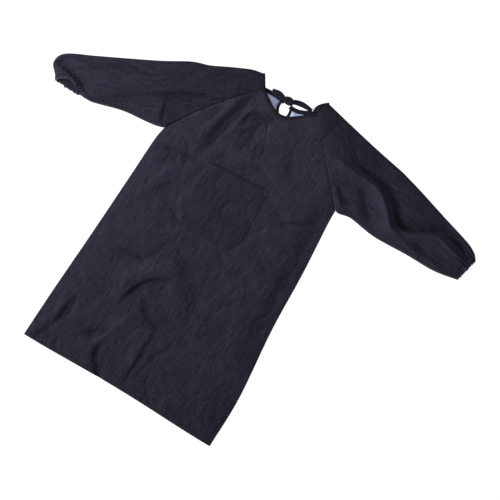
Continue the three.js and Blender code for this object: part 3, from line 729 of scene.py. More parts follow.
def make_piece(name, points, faces, corner_uv, finishes):
    """A smooth mesh object at the origin, from garment points and a map in millimetres."""
    mesh = bpy.data.meshes.new(name)
    places = np.asarray(points) * MM + HEM_MIDDLE
    mesh.from_pydata(places.tolist(), [], [list(map(int, face)) for face in faces])
    layer = mesh.uv_layers.new(name=CLOTH_UV)
    layer.uv.foreach_set("vector", (np.asarray(corner_uv, np.float32) * MM).ravel())
    for finish in finishes:
        mesh.materials.append(finish_named(finish))
    mesh.polygons.foreach_set("use_smooth", [True] * len(mesh.polygons))
    mesh.update()
    piece = bpy.data.objects.new(name, mesh)
    bpy.context.collection.objects.link(piece)
    return piece


def mark_fold_shade(piece, lift):
    """Stores how far its folds lift each point, in centimetres, for the painted shade: valleys are painted
    darker and ridges paler.
    """
    layer = piece.data.attributes.new(FOLD_SHADE_ATTRIBUTE, "FLOAT", "POINT")
    layer.data.foreach_set("value", np.ravel(lift).astype(np.float32) * FOLD_SHADE_PER_MM)


def thicken(piece, thickness):
    """Gives a sheet its wall, on the side its faces turn away from."""
    wall = piece.modifiers.new("Wall", "SOLIDIFY")
    wall.thickness = thickness * MM
    wall.offset = -1
    wall.use_even_offset = False
    wall.use_quality_normals = True
    wall.material_offset = 1


def dress(piece, node):
    """Puts a finished piece in place of its solid."""
    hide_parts(node)
    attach(piece, "root")


def sheet_piece(name, grid, uv, thickness=CLOTH, finishes=CLOTH_FINISHES, turned=False):
    """A thin-walled sheet from a grid of points."""
    rows, columns = grid.shape[:2]
    faces = grid_faces(rows, columns)
    if turned:
        faces = faces[:, ::-1]
    piece = make_piece(name, grid.reshape(-1, 3), faces, uv.reshape(-1, 2)[faces].reshape(-1, 2), finishes)
    thicken(piece, thickness)
    return piece


class SMOCK_OT_front_panel(bpy.types.Operator):
    """Front of the body, with its folds, hem and raglan edges"""
    bl_idname = "smock.front_panel"
    bl_label = "Front Panel"

    def execute(self, context):
        levels = BODY_EDGES[2]
        shares = np.linspace(0, 1, BODY_CELLS + 1)
        level, share = np.meshgrid(levels, shares, indexing="ij")
        plan = body_plan(level, share, front_sag)
        height = front_height(plan[..., 0], plan[..., 1])
        grid = np.dstack([plan, height])
        piece = sheet_piece("front_panel_cloth", grid, plan)
        # Painted shade: how far the folds lift the front sets how much darker its valleys and paler its ridges
        # are painted
        lift = fold_field(plan[..., 0], plan[..., 1], BODY_FOLDS)
        mark_fold_shade(piece, BODY_FOLD_SHADE * np.sign(lift) * np.abs(lift) ** BODY_FOLD_SHADE_POWER)
        dress(piece, "front_panel")
        return {"FINISHED"}


class SMOCK_OT_front_pocket(bpy.types.Operator):
    """Patch pocket on the middle of the front"""
    bl_idname = "smock.front_pocket"
    bl_label = "Front Pocket"

    def execute(self, context):
        cells = POCKET_CELLS
        level, share = pocket_grid(cells, cells)
        plan = body_plan(level, share, front_sag)
        height = front_height(plan[..., 0], plan[..., 1])
        row, column = np.meshgrid(np.arange(cells + 1), np.arange(cells + 1), indexing="ij")
        side = np.minimum(column, cells - column)
        inside = smoothstep(np.minimum(side, row), 0, POCKET_SWELL["run"])
        swell = POCKET_SWELL["edge"] + POCKET_SWELL["middle"] * inside
        gape = np.exp(-((cells - 1 - row) / POCKET_MOUTH["rows"]) ** 2)
        mouth = POCKET_MOUTH["height"] * gape * smoothstep(side, 0, POCKET_MOUTH["run"]) * (row < cells)
        grid = np.dstack([plan, height + swell + mouth])
        finishes = ("denim_pocket", "denim_wrong_side", "denim_painted_shadow", "denim_wrong_side")
        piece = sheet_piece("front_pocket_cloth", grid, plan, POCKET_CLOTH, finishes)
        # Painted shadow of the open mouth: the pocket's last row takes the much darker denim, which also stands
        # for the unfaded indigo at its edge
        for polygon in piece.data.polygons[-cells:]:
            polygon.material_index = 2
        dress(piece, "front_pocket")
        return {"FINISHED"}


def pocket_grid(rows, columns):
    """Levels and shares over the pocket, whose lower corners are cut off."""
    low, high = POCKET_LEVELS
    level = np.linspace(low, high, rows + 1)
    cut = np.clip(1 - (level - low) / POCKET_CORNER[0], 0, 1) * POCKET_CORNER[1]
    across = np.linspace(0, 1, columns + 1)
    share = lerp((POCKET_SHARES[0] + cut)[:, None], (POCKET_SHARES[1] - cut)[:, None], across[None, :])
    return np.broadcast_to(level[:, None], share.shape), share


def keyhole_points(margin, steps):
    """Points of the slit in the back neckline, down its left side and up its right."""
    angle = np.radians(np.linspace(KEYHOLE_FROM, KEYHOLE_TO, steps + 1))
    tilt = math.radians(KEYHOLE["tilt"])
    along = (KEYHOLE["half_width"] + margin) * np.cos(angle)
    up = (KEYHOLE["half_height"] + margin) * np.sin(angle)
    x = KEYHOLE["x"] + along * math.cos(tilt) - up * math.sin(tilt)
    y = KEYHOLE["y"] + along * math.sin(tilt) + up * math.cos(tilt)
    return np.stack([x, y], -1)


def neckline_points(share, sag):
    """Plan points of a neckline at shares from its left end to its right."""
    return body_plan(np.full(len(share), BODY_EDGES[2][-1]), share, sag)


def back_neckline():
    return neckline_points(np.linspace(0, 1, BACK_NECK_CELLS + 1), back_sag)


class SMOCK_OT_back_panel(bpy.types.Operator):
    """Back of the body, flat on the surface, with the slit at the neck"""
    bl_idname = "smock.back_panel"
    bl_label = "Back Panel"

    def execute(self, context):
        slit = keyhole_points(KEYHOLE_BINDING + GAP, SLIT_CELLS)
        neckline = back_neckline()
        hem_share = np.linspace(1, 0, BACK_HEM_CELLS + 1)[1:-1]
        hem = body_plan(np.zeros_like(hem_share), hem_share, back_sag)
        outline = np.vstack([
            BODY_EDGES[0][::BACK_EDGE_STEP],
            BODY_EDGES[0][-1:],
            neckline[1:][neckline[1:, 0] < slit[0, 0] - GAP],
            slit,
            neckline[:-1][neckline[:-1, 0] > slit[-1, 0] + GAP],
            BODY_EDGES[1][-1:],
            BODY_EDGES[1][::BACK_EDGE_STEP][::-1],
            hem,
        ])
        keep = np.hypot(*(outline - np.roll(outline, 1, axis=0)).T) > BACK_SHORTEST_EDGE
        outline = outline[keep]
        level, share = np.meshgrid(
            np.linspace(0.05, 5.9, BACK_ROWS), np.linspace(0.04, 0.96, BACK_COLUMNS), indexing="ij")
        inside = body_plan(level, share, back_sag).reshape(-1, 2)
        clear = np.abs(path_distance(inside[:, 0], inside[:, 1], slit)[0]) > KEYHOLE_CLEAR
        inside = inside[clear]
        count = len(outline)
        points = [Vector(p) for p in np.vstack([outline, inside]).tolist()]
        loop = [(k, (k + 1) % count) for k in range(count)]
        flat, _, faces, *_ = geometry.delaunay_2d_cdt(points, loop, [], 1, 1e-4)
        plan = np.array([tuple(p) for p in flat])
        faces = np.array(faces)
        a, b, c = (plan[faces[:, k]] for k in range(3))
        upward = np.cross(b - a, c - a) > 0
        faces[upward] = faces[upward][:, ::-1]
        grid = np.column_stack([plan, np.zeros(len(plan))])
        piece = make_piece("back_panel_cloth", grid, faces, plan[faces].reshape(-1, 2), CLOTH_FINISHES)
        thicken(piece, CLOTH)
        dress(piece, "back_panel")
        return {"FINISHED"}


def sleeve_seam(side, share):
    """Points of a sleeve's own raglan edge from the neck, at 0, to the underarm, at 1."""
    seam = raglan_points(side, 1 - np.asarray(share, float))
    seam[:, 0] += OUTWARD[side] * SEAM_SHIFT
    return seam


def sleeve_sections(side):
    """Sections of a sleeve from neck to casing, as arrays of plan points and sizes."""
    table = SLEEVES[side]
    raglan_rows = [row for row in table if row[0] is not None]
    raglan_places = [row[0] for row in raglan_rows]
    last_raglan = len(raglan_rows) - 1
    seam_at = sleeve_seam(side, raglan_places)
    columns = []
    for index, row in enumerate(table):
        seam = seam_at[index] if row[0] is not None else row[1:3]
        columns.append((*seam, *row[3:]))
    share = np.linspace(0, 1, RAGLAN_CELLS + 1)
    raglan_position = np.interp(share, raglan_places, np.arange(len(raglan_rows)))
    tube_rows = len(table) - 1 - last_raglan
    tube_length = math.dist(columns[last_raglan][2:4], columns[-1][2:4])
    tube_position = last_raglan + np.linspace(0, tube_rows, round(tube_length / TUBE_CELL) + 1)[1:]
    values = smooth_rows(columns, np.concatenate([raglan_position, tube_position]))
    values[:len(share), :2] = sleeve_seam(side, share)
    neck_arch = NECK_ARCH[side] * np.clip(1 - share * RAGLAN_STEPS, 0, 1)
    cuff_arch = CUFF_ARCH[side] * np.clip(1 - (len(table) - 1 - tube_position) / ARCH_ROWS[side], 0, 1)
    sections = []
    for index, (row, arch) in enumerate(zip(values, np.concatenate([neck_arch, cuff_arch]))):
        sections.append({
            "seam": row[:2], "fold": row[2:4], "puff": row[4], "gather": max(0.0, row[5]),
            "arch": arch, "open": index < len(share) - 1,
            "nape": NAPE_ARCH[side] * max(0.0, 1 - index * RAGLAN_STEPS / (len(share) - 1)),
        })
    return sections


def pleat_wave(share, seed):
    """Uneven gathers across a cuff, between -1 and 1."""
    drift = PLEAT_DRIFT * np.sin(2 * math.pi * (1.7 * share + seed))
    phase = 2 * math.pi * (PLEATS * share + drift)
    return 0.7 * np.cos(phase) + 0.3 * np.cos(2.3 * phase + 5 * seed)


def section_loop(section, side, ruffle=0.0, rim_wave=0.0):
    """One section of a flattened tube: over the top, round the fold, along the bottom and round the seam."""
    seam, fold = np.asarray(section["seam"], float), np.asarray(section["fold"], float)
    width = math.dist(seam, fold)
    across = (fold - seam) / width
    back = np.array([-across[1], across[0]]) * math.copysign(1, across[0])
    opened = section["open"]
    start = 0 if opened else FOLD_RADIUS
    top_share = np.linspace(0, 1, SLEEVE_TOP_CELLS + 1)
    along = lerp(start, width - FOLD_RADIUS, top_share)
    swing = bulge(top_share) * section["arch"]
    pleat = pleat_wave(top_share, PLEAT_SEED[side])
    fade = end_fade(top_share, FOLD_FADE)
    plan = seam + along[:, None] * across + (swing - ruffle * pleat * fade)[:, None] * back
    seam_top = 2 * FOLD_RADIUS
    if opened:
        seam_top = max(seam_top, float(front_height(seam[:1], seam[1:])[0]))
    height = lerp(seam_top, 2 * FOLD_RADIUS, top_share) + section["puff"] * bulge(top_share) ** DOME_POWER
    height = height + section["gather"] * pleat * fade
    top = np.column_stack([plan, height])
    arc_share = np.linspace(0, 1, SLEEVE_ARC_CELLS + 1)[1:-1]
    angle = np.pi * (0.5 - arc_share)
    reach = FOLD_RADIUS * np.cos(angle)
    arc_height = FOLD_RADIUS * (1 + np.sin(angle))
    fold_arc = np.column_stack([seam + (width - FOLD_RADIUS + reach)[:, None] * across, arc_height])
    bottom_along = np.linspace(width - FOLD_RADIUS, start, SLEEVE_BOTTOM_CELLS + 1)
    bottom_share = np.clip(bottom_along / width, 0, 1)
    swing = section["nape"] * bottom_share ** NAPE_POWERS[0] * (1 - bottom_share) ** NAPE_POWERS[1]
    swing = swing - rim_wave * pleat_wave(bottom_share, RIM_SEED) * end_fade(bottom_share, RIM_FADE)
    bottom = seam + bottom_along[:, None] * across + swing[:, None] * back
    bottom = np.column_stack([bottom, np.zeros(len(bottom))])
    parts = [top, fold_arc, bottom]
    if not opened:
        seam_arc = np.column_stack([seam + (FOLD_RADIUS - reach)[:, None] * across, arc_height])
        parts.append(seam_arc[::-1])
    return np.vstack(parts), fade


# Kinds of tube faces, each an outer and an inner finish: plain; lined; rubbed edges with a painted highlight;
# and the casing's lower rim, whose inner face is painted pale as a lit rim
TUBE_PLAIN, TUBE_LINED, TUBE_WORN_HIGHLIGHT, TUBE_RIM = 0, 2, 4, 6
TUBE_FINISHES = (("denim_right_side", "denim_wrong_side"), ("denim_right_side", "denim_pocket"),
                 ("denim_worn_edge_highlight", "denim_pocket"), ("denim_right_side", "denim_worn_edge_highlight"))


def tube_piece(name, loops, opened, v_start, turned, lined_rows, rim_rows=(0, 0)):
    """A thin-walled tube through its section loops, open along the seam where they are."""
    starts = np.concatenate([[0], np.cumsum([len(loop) for loop in loops])])
    centre = np.array([loop[SLEEVE_TOP_CELLS // 2] for loop in loops])
    v = v_start + running_length(centre[:, :2])
    u = []
    for loop in loops:
        steps = np.linalg.norm(np.roll(loop, -1, axis=0) - loop, axis=1)
        lengths = np.concatenate([[0], np.cumsum(steps)])
        u.append(lengths - lengths[SLEEVE_TOP_CELLS // 2])
    faces, corner_uv, kinds = [], [], []
    for i in range(len(loops) - 1):
        count = len(loops[i])
        for j in range(count - 1 if opened[i] else count):
            k = (j + 1) % count
            face = [starts[i] + j, starts[i] + k, starts[i + 1] + k, starts[i + 1] + j]
            uv = [(u[i][j], v[i]), (u[i][j + 1], v[i]),
                  (u[i + 1][j + 1], v[i + 1]), (u[i + 1][j], v[i + 1])]
            faces.append(face[::-1] if turned else face)
            corner_uv.extend(uv[::-1] if turned else uv)
            # Rubbed edges with a painted highlight along the seam side of closed rows
            worn_highlight = not opened[i] and (j < WORN_HIGHLIGHT_CELLS or j >= count - SLEEVE_ARC_CELLS)
            lined = i >= len(loops) - 1 - lined_rows
            upper = j < SLEEVE_TOP_CELLS + SLEEVE_ARC_CELLS // 2
            if i >= len(loops) - 1 - rim_rows[0 if upper else 1]:
                kinds.append(TUBE_WORN_HIGHLIGHT if upper else TUBE_RIM)
            else:
                kinds.append(TUBE_WORN_HIGHLIGHT if worn_highlight else TUBE_LINED if lined else TUBE_PLAIN)
    finishes = [name for pair in TUBE_FINISHES for name in pair]
    piece = make_piece(name, np.vstack(loops), faces, corner_uv, finishes)
    piece.data.polygons.foreach_set("material_index", kinds)
    thicken(piece, CLOTH)
    return piece


def sleeve_loops(side):
    """Every section loop of a sleeve, with its folds and wrinkles."""
    sections = sleeve_sections(side)
    made = [section_loop(section, side) for section in sections]
    top = np.array([loop[:SLEEVE_TOP_CELLS + 1] for loop, _ in made])
    fade = np.array([share for _, share in made])
    x, y = top[..., 0], top[..., 1]
    width = np.array([math.dist(s["seam"], s["fold"]) for s in sections])[:, None]
    along = np.linspace(0, 1, SLEEVE_TOP_CELLS + 1)[None, :] * width
    run = np.broadcast_to(CELL * np.arange(1, len(sections) + 1)[:, None], along.shape)
    wrinkles = SLEEVE_WRINKLES * bpy.context.scene.smock_sizes.wrinkle_height / MM
    lift = fade * (fold_field(x, y, SLEEVE_FOLDS[side]) + wrinkles * wrinkle_field(along, 0.4 * run, 7.0))
    tube = np.array([not s["open"] for s in sections])[:, None]
    lift = lift + tube * ridges(along, SEAM_RIDGE) * smoothstep(along, 0, 3)
    top[..., 2] = np.maximum(top[..., 2] + lift, 2 * CLOTH + GAP)
    loops = []
    for (loop, _), raised in zip(made, top):
        loop = loop.copy()
        loop[:SLEEVE_TOP_CELLS + 1] = raised
        loops.append(loop)
    return sections, loops


class SMOCK_OT_sleeves(bpy.types.Operator):
    """Both raglan sleeves, flattened tubes that are open at the body and at the cuff"""
    bl_idname = "smock.sleeves"
    bl_label = "Sleeves"

    def execute(self, context):
        for side in OUTWARD:
            sections, loops = sleeve_loops(side)
            opened = [section["open"] for section in sections]
            piece = tube_piece(f"sleeve_{side}_cloth", loops, opened, 0.0, side == "right", LINED_ROWS)
            # Painted shade over the sleeves' folds, on their top faces only
            lifts = [fold_field(loop[:, 0], loop[:, 1], SLEEVE_FOLDS[side]) for loop in loops]
            for lift in lifts:
                lift[SLEEVE_TOP_CELLS + 1:] = 0
            mark_fold_shade(piece, np.concatenate(lifts))
            dress(piece, f"sleeve_{side}")
        return {"FINISHED"}


def cuff_loops(side):
    """Section loops of a gathered casing, which carries on from the end of its sleeve."""
    last = sleeve_sections(side)[-1]
    loops = []
    for share in np.linspace(0, 1, CUFF_ROWS):
        section = dict(last)
        for end, rim in zip(("seam", "fold"), CUFF_RIM[side]):
            section[end] = lerp(last[end], np.array(rim, float), lerp(-CUFF_LAP, 1, share))
        section["arch"] = lerp(CUFF_ARCH[side], RIM_ARCH[side], share)
        section["gather"] = lerp(last["gather"], CUFF_GATHER[side], share)
        pinch = CUFF_PINCH * ridges(share, CUFF_GROOVES)
        section["puff"] = last["puff"] - pinch + CUFF_SWELL * math.sin(math.pi * share)
        loop, _ = section_loop(section, side, CUFF_RUFFLE[side] * share, RIM_WAVE[side] * share)
        loops.append(loop)
    return loops


class SMOCK_OT_cuffs(bpy.types.Operator):
    """Gathered elastic casings at the wrists"""
    bl_idname = "smock.cuffs"
    bl_label = "Cuffs"

    def execute(self, context):
        for side in OUTWARD:
            loops = cuff_loops(side)
            piece = tube_piece(f"cuff_{side}_cloth", loops, [False] * len(loops), CUFF_MAP_START,
                               side == "right", len(loops), RIM_ROWS)
            dress(piece, f"cuff_{side}")
        return {"FINISHED"}


def neck_path():
    """The neck opening's edge from the tie round to the tie again: points with outward normals."""
    up, down = (0, 0, 1), (0, 0, -1)
    neckline = back_neckline()
    left_of_knot = neckline[neckline[:, 0] < KNOT["x"] - KNOT["half_x"] / 2]
    right_of_knot = neckline[neckline[:, 0] > KNOT["x"] + KNOT["half_x"] / 2]
    path = [((x, y, 0.0), down) for x, y in left_of_knot[::-1]]
    rings = {}
    for side in OUTWARD:
        loop = sleeve_loops(side)[1][0]
        normal = np.cross(np.gradient(loop, axis=0), (OUTWARD[side], 0, 0))
        normal /= np.linalg.norm(normal, axis=1)[:, None]
        if normal[SLEEVE_TOP_CELLS // 2, 2] < 0:
            normal = -normal
        rings[side] = list(zip(map(tuple, loop), map(tuple, normal)))
    path += rings["left"][1:-1][::-1]
    front = neckline_points(np.linspace(0, 1, FRONT_NECK_CELLS + 1), front_sag)
    height = front_height(front[:, 0], front[:, 1])
    path += [((x, y, z), up) for (x, y), z in zip(front, height)]
    path += rings["right"][1:-1]
    path += [((x, y, 0.0), down) for x, y in right_of_knot[::-1]]
    return path


def tape_along(name, points, normals, aways, width):
    """A soft-edged tape beside a path, as one closed band."""
    section = np.array(TAPE_SECTION)
    reach = section[None, :, :1] * (np.reshape(width, (-1, 1, 1)) + TAPE_LAP) - TAPE_LAP
    grid = points[:, None, :] + aways[:, None, :] * reach
    grid = grid - normals[:, None, :] * (section[None, :, 1:] * TAPE)
    rows, columns = grid.shape[:2]
    faces, corner_uv = ring_faces(columns, running_length(points))
    faces.append(list(range(columns))[::-1])
    faces.append([(rows - 1) * columns + j for j in range(columns)])
    corner_uv += [(j, 0) for j in range(2 * columns)]
    piece = make_piece(name, grid.reshape(-1, 3), faces, corner_uv, ("bias_tape",))
    turn_outwards(piece.data)
    return piece


def turn_outwards(mesh):
    """Turns a closed mesh's faces outwards if its volume comes out negative."""
    mesh.calc_loop_triangles()
    corners = np.empty(len(mesh.vertices) * 3)
    mesh.vertices.foreach_get("co", corners)
    corners = corners.reshape(-1, 3)
    triangles = np.empty(len(mesh.loop_triangles) * 3, int)
    mesh.loop_triangles.foreach_get("vertices", triangles)
    a, b, c = (corners[triangles.reshape(-1, 3)[:, k]] for k in range(3))
    if np.einsum("ij,ij->", a, np.cross(b, c)) < 0:
        mesh.flip_normals()


class SMOCK_OT_bindings(bpy.types.Operator):
    """Narrow bindings of the neck opening and of the slit in the back neckline"""
    bl_idname = "smock.bindings"
    bl_label = "Bindings"

    def execute(self, context):
        path = neck_path()
        points = np.array([point for point, _ in path])
        normals = np.array([normal for _, normal in path])
        headings = np.diff(points, axis=0)
        sides = np.cross(normals[:-1], headings)
        sides[:, 2] = 0
        sides /= np.maximum(np.linalg.norm(sides, axis=1), 1e-9)[:, None]
        aways = np.vstack([sides[:1], sides[:-1] + sides[1:], sides[-1:]])
        aways /= np.linalg.norm(aways, axis=1)[:, None]
        steps = np.pad(np.where(normals[:, 2] < -0.5, BACK_BINDING, BINDING), BINDING_BLEND, mode="edge")
        window = 2 * BINDING_BLEND + 1
        widths = np.convolve(steps, np.full(window, 1 / window), mode="valid")
        neck = tape_along("neck_binding_tape", points, normals, aways, widths)
        dress(neck, "neck_binding")
        inside = keyhole_points(0, SLIT_BINDING_CELLS)
        outside = keyhole_points(KEYHOLE_BINDING, SLIT_BINDING_CELLS)
        points = np.column_stack([outside, np.full(len(outside), TAPE)])
        aways = np.column_stack([inside - outside, np.zeros(len(outside))])
        aways /= np.linalg.norm(aways, axis=1)[:, None]
        normals = np.tile((0.0, 0.0, 1.0), (len(points), 1))
        slit = tape_along("keyhole_binding_tape", points, normals, aways, KEYHOLE_BINDING - GAP)
        dress(slit, "keyhole_binding")
        return {"FINISHED"}


def ribbon_grid(path, steps, across_steps, height):
    """A strip along a path of x, y and half width, with a height for each place and side."""
    stations = smooth_path(path, steps)
    side = np.linspace(-1, 1, across_steps + 1)
    share = np.linspace(0, 1, len(stations))
    x = np.repeat(stations[:, :1], len(side), axis=1)
    y = stations[:, 1:2] + stations[:, 2:] * side
    z = height(share[:, None], side[None, :])
    return np.dstack([x, y, z])


def ribbon_uv(grid):
    """Map of a strip: across it and along it."""
    run = running_length(grid[:, 0])
    width = np.linalg.norm(grid - grid[:, :1], axis=2)
    return np.dstack([width, np.repeat(run[:, None], grid.shape[1], axis=1)])


def tie_height(share, side):
    """Height of a free end, which waves a little and never sinks into the floor."""
    wave = TIE_WAVE * np.cos(2.2 * side + 3 * share) * np.sin(np.pi * share)
    return np.maximum(TAPE + wave, TAPE)


class SMOCK_OT_tie(bpy.types.Operator):
    """Neck tie: a knot over the slit, with a loop and two free ends"""
    bl_idname = "smock.tie"
    bl_label = "Neck Tie"

    def execute(self, context):
        finishes = ("bias_tape", "bias_tape")
        for name, path in (("right", TIE_RIGHT_PATH), ("left", TIE_LEFT_PATH)):
            grid = ribbon_grid(path, *TIE_CELLS, tie_height)
            uv = ribbon_uv(grid)
            piece = sheet_piece(f"tie_end_{name}_tape", grid, uv, TAPE, finishes, name == "right")
            dress(piece, f"tie_end_{name}")
        piece = self.loop(finishes)
        dress(piece, "bow_loop")
        knot = self.knot()
        dress(knot, "bow_knot")
        return {"FINISHED"}

    def loop(self, finishes):
        """The loop: out along the top, round its tip and back along the bottom."""
        def top(share, side):
            lift = LOOP_HEIGHT / 2 * np.sin(np.pi * (0.06 + 0.9 * share)) ** DOME_POWER
            crease = 0.5 * np.cos(4.5 * side) * (1 - share) - 0.5 * side ** 2
            return LOOP_BASE + TAPE + lift + crease

        def bottom(share, side):
            return np.full((share.size, side.size), LOOP_BASE - TAPE)

        upper = ribbon_grid(LOOP_PATH, *LOOP_CELLS, top)
        lower = ribbon_grid(LOOP_PATH, *LOOP_CELLS, bottom)[::-1]
        bend = []
        for angle in np.linspace(0, math.pi, 7)[1:-1]:
            share = (1 - math.cos(angle)) / 2
            row = lerp(upper[-1], lower[0], share)
            row[:, 0] -= TAPE * math.sin(angle)
            bend.append(row)
        grid = np.concatenate([upper, np.array(bend), lower])
        return sheet_piece("bow_loop_tape", grid, ribbon_uv(grid), CLOTH, finishes)

    def knot(self):
        """The knot: a pillow pulled in by the strip that is wound round it."""
        rows, columns = 24, 40
        grid = []
        for i in range(rows + 1):
            tilt = math.pi * i / rows
            for j in range(columns):
                turn = 2 * math.pi * j / columns
                x, y, z = math.sin(tilt) * math.cos(turn), math.cos(tilt), math.sin(tilt) * math.sin(turn)
                strip = y - 0.1 - 0.25 * x
                wrap = KNOT_WRAP * math.exp(-(strip / 0.3) ** 4)
                groove = KNOT_GROOVE * math.exp(-((abs(strip) - 0.42) / 0.1) ** 2)
                crease = KNOT_CREASE * math.cos(9 * turn) * abs(y)
                size = 0.9 + wrap - groove + crease
                grid.append((KNOT["x"] + KNOT["half_x"] * size * x, KNOT["y"] + KNOT["half_y"] * size * y,
                             KNOT["z"] + KNOT["half_z"] * size * z))
        faces, corner_uv = ring_faces(columns, range(rows + 1))
        piece = make_piece("bow_knot_tape", grid, faces, corner_uv, ("bias_tape",))
        turn_outwards(piece.data)
        return piece


def stitch_tree():
    """Geometry nodes that lay stitches along the edges of a mesh."""
    tree = bpy.data.node_groups.new("Stitches", "GeometryNodeTree")
    face = tree.interface
    face.new_socket("Geometry", in_out="INPUT", socket_type="NodeSocketGeometry")
    for name, default in (("Pitch", STITCH_PITCH), ("Length", STITCH_LENGTH), ("Width", STITCH_WIDTH)):
        socket = face.new_socket(name, in_out="INPUT", socket_type="NodeSocketFloat")
        socket.default_value = default
    face.new_socket("Seed", in_out="INPUT", socket_type="NodeSocketInt").default_value = STITCH_SEED
    face.new_socket("Thread", in_out="INPUT", socket_type="NodeSocketMaterial")
    face.new_socket("Geometry", in_out="OUTPUT", socket_type="NodeSocketGeometry")
    build = Builder(tree)
    given = tree.nodes.new("NodeGroupInput").outputs
    names = ("Geometry", "Pitch", "Length", "Width", "Seed", "Thread")
    value = {name: Field(tree, given[name]) for name in names}
    curve = build.add("GeometryNodeMeshToCurve", None, {"Mesh": value["Geometry"]})
    points = build.add("GeometryNodeResampleCurve", {"mode": "LENGTH"},
                       {"Curve": curve, "Length": value["Pitch"]})
    tangent = build.add("GeometryNodeInputTangent")
    turn = build.add("FunctionNodeAlignRotationToVector", {"axis": "X"}, {"Vector": tangent})
    size = build.add("ShaderNodeCombineXYZ", None,
                     {"X": value["Length"], "Y": value["Width"], "Z": value["Width"]})
    vary = build.add("FunctionNodeRandomValue", {"data_type": "FLOAT"},
                     {2: 0.85, 3: 1.1, "Seed": value["Seed"]}, 1)
    size = build.add("ShaderNodeVectorMath", {"operation": "SCALE"}, {"Vector": size, "Scale": vary})
    bead = build.add("GeometryNodeMeshUVSphere", None, {"Segments": 6, "Rings": 4, "Radius": 0.5})
    placed = build.add("GeometryNodeInstanceOnPoints", None,
                       {"Points": points, "Instance": bead, "Rotation": turn, "Scale": size})
    real = build.add("GeometryNodeRealizeInstances", None, {"Geometry": placed})
    smooth = build.add("GeometryNodeSetShadeSmooth", None, {"Geometry": real})
    coloured = build.add("GeometryNodeSetMaterial", None, {"Geometry": smooth, "Material": value["Thread"]})
    result = tree.nodes.new("NodeGroupOutput")
    tree.links.new(coloured.socket, result.inputs["Geometry"])
    return tree


def sew(name, paths, tree, pitch_share=1.0):
    """Stitches along paths of garment points, as one plain mesh."""
    sizes = bpy.context.scene.smock_sizes
    points, edges = [], []
    for path in paths:
        start = len(points)
        points += (np.asarray(path) * MM + HEM_MIDDLE).tolist()
        edges += [(start + k, start + k + 1) for k in range(len(path) - 1)]
    guide_mesh = bpy.data.meshes.new(f"{name}_guide")
    guide_mesh.from_pydata(points, edges, [])
    guide = bpy.data.objects.new(f"{name}_guide", guide_mesh)
    bpy.context.collection.objects.link(guide)
    maker = guide.modifiers.new("Stitches", "NODES")
    maker.node_group = tree
    values = {"Pitch": sizes.stitch_pitch * pitch_share, "Length": sizes.stitch_length * pitch_share,
              "Width": sizes.stitch_width, "Seed": STITCH_SEED, "Thread": finish_named("sewing_thread")}
    for item in tree.interface.items_tree:
        if item.in_out == "INPUT" and item.name in values:
            maker[item.identifier] = values[item.name]
    depsgraph = bpy.context.evaluated_depsgraph_get()
    mesh = bpy.data.meshes.new_from_object(guide.evaluated_get(depsgraph))
    mesh.name = name
    piece = bpy.data.objects.new(name, mesh)
    bpy.context.collection.objects.link(piece)
    bpy.data.objects.remove(guide)
    if not mesh.polygons:
        raise RuntimeError(f"{name} has no stitches")
    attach(piece, "root")
    return piece


def on_front(plan, lift):
    """Points a little above the front's outer face."""
    plan = np.asarray(plan, float)
    return np.column_stack([plan, front_height(plan[:, 0], plan[:, 1]) + lift])


class SMOCK_OT_stitching(bpy.types.Operator):
    """Seams, hem and pocket stitches"""
    bl_idname = "smock.stitching"
    bl_label = "Stitching"

    def execute(self, context):
        tree = stitch_tree()
        sew("body_stitches", self.body_rows(), tree)
        pocket = body_plan(*pocket_grid(POCKET_CELLS, POCKET_CELLS), front_sag)
        sew("pocket_stitches", self.pocket_rows(pocket), tree)
        sew("pocket_tacks", self.tack_rows(pocket), tree, TACK_PITCH)
        return {"FINISHED"}

    def body_rows(self):
        """Rows along the hem, both raglan seams and the front neckline."""
        hem = body_plan(np.zeros(160), np.linspace(0.01, 0.99, 160), front_sag)
        hem[:, 1] += HEM_DEPTH
        rows = [hem]
        for side in OUTWARD:
            seam = raglan_points(side, np.linspace(0.02, 0.97, 90))
            seam[:, 0] -= OUTWARD[side] * RAGLAN_STITCH
            rows.append(seam)
        neck = neckline_points(np.linspace(0.02, 0.98, 90), front_sag)
        neck[:, 1] -= NECK_STITCH
        rows.append(neck)
        return [on_front(row, STITCH_LIFT["body"]) for row in rows]

    def pocket_rows(self, pocket):
        """Two rows down, along and up the pocket's edge, and one under its mouth."""
        rows = []
        for inset in POCKET_STITCHES:
            edge = np.vstack([pocket[-1 - inset:inset:-1, inset], pocket[inset, inset:-inset],
                              pocket[inset:-inset, -1 - inset]])
            rows.append(on_front(edge, STITCH_LIFT["pocket"]))
        mouth = pocket[-1 - MOUTH_STITCH, 1:-1]
        return [*rows, on_front(mouth, STITCH_LIFT["mouth"])]

    def tack_rows(self, pocket):
        """Short close rows that hold the pocket's corners."""
        across = np.linspace(-TACK_HALF, TACK_HALF, 9)[:, None] * (1.0, TACK_SLANT)
        return [on_front(pocket[row, column] + across + (0, step), STITCH_LIFT["tack"])
                for row, column in TACKS for step in TACK_ROWS]


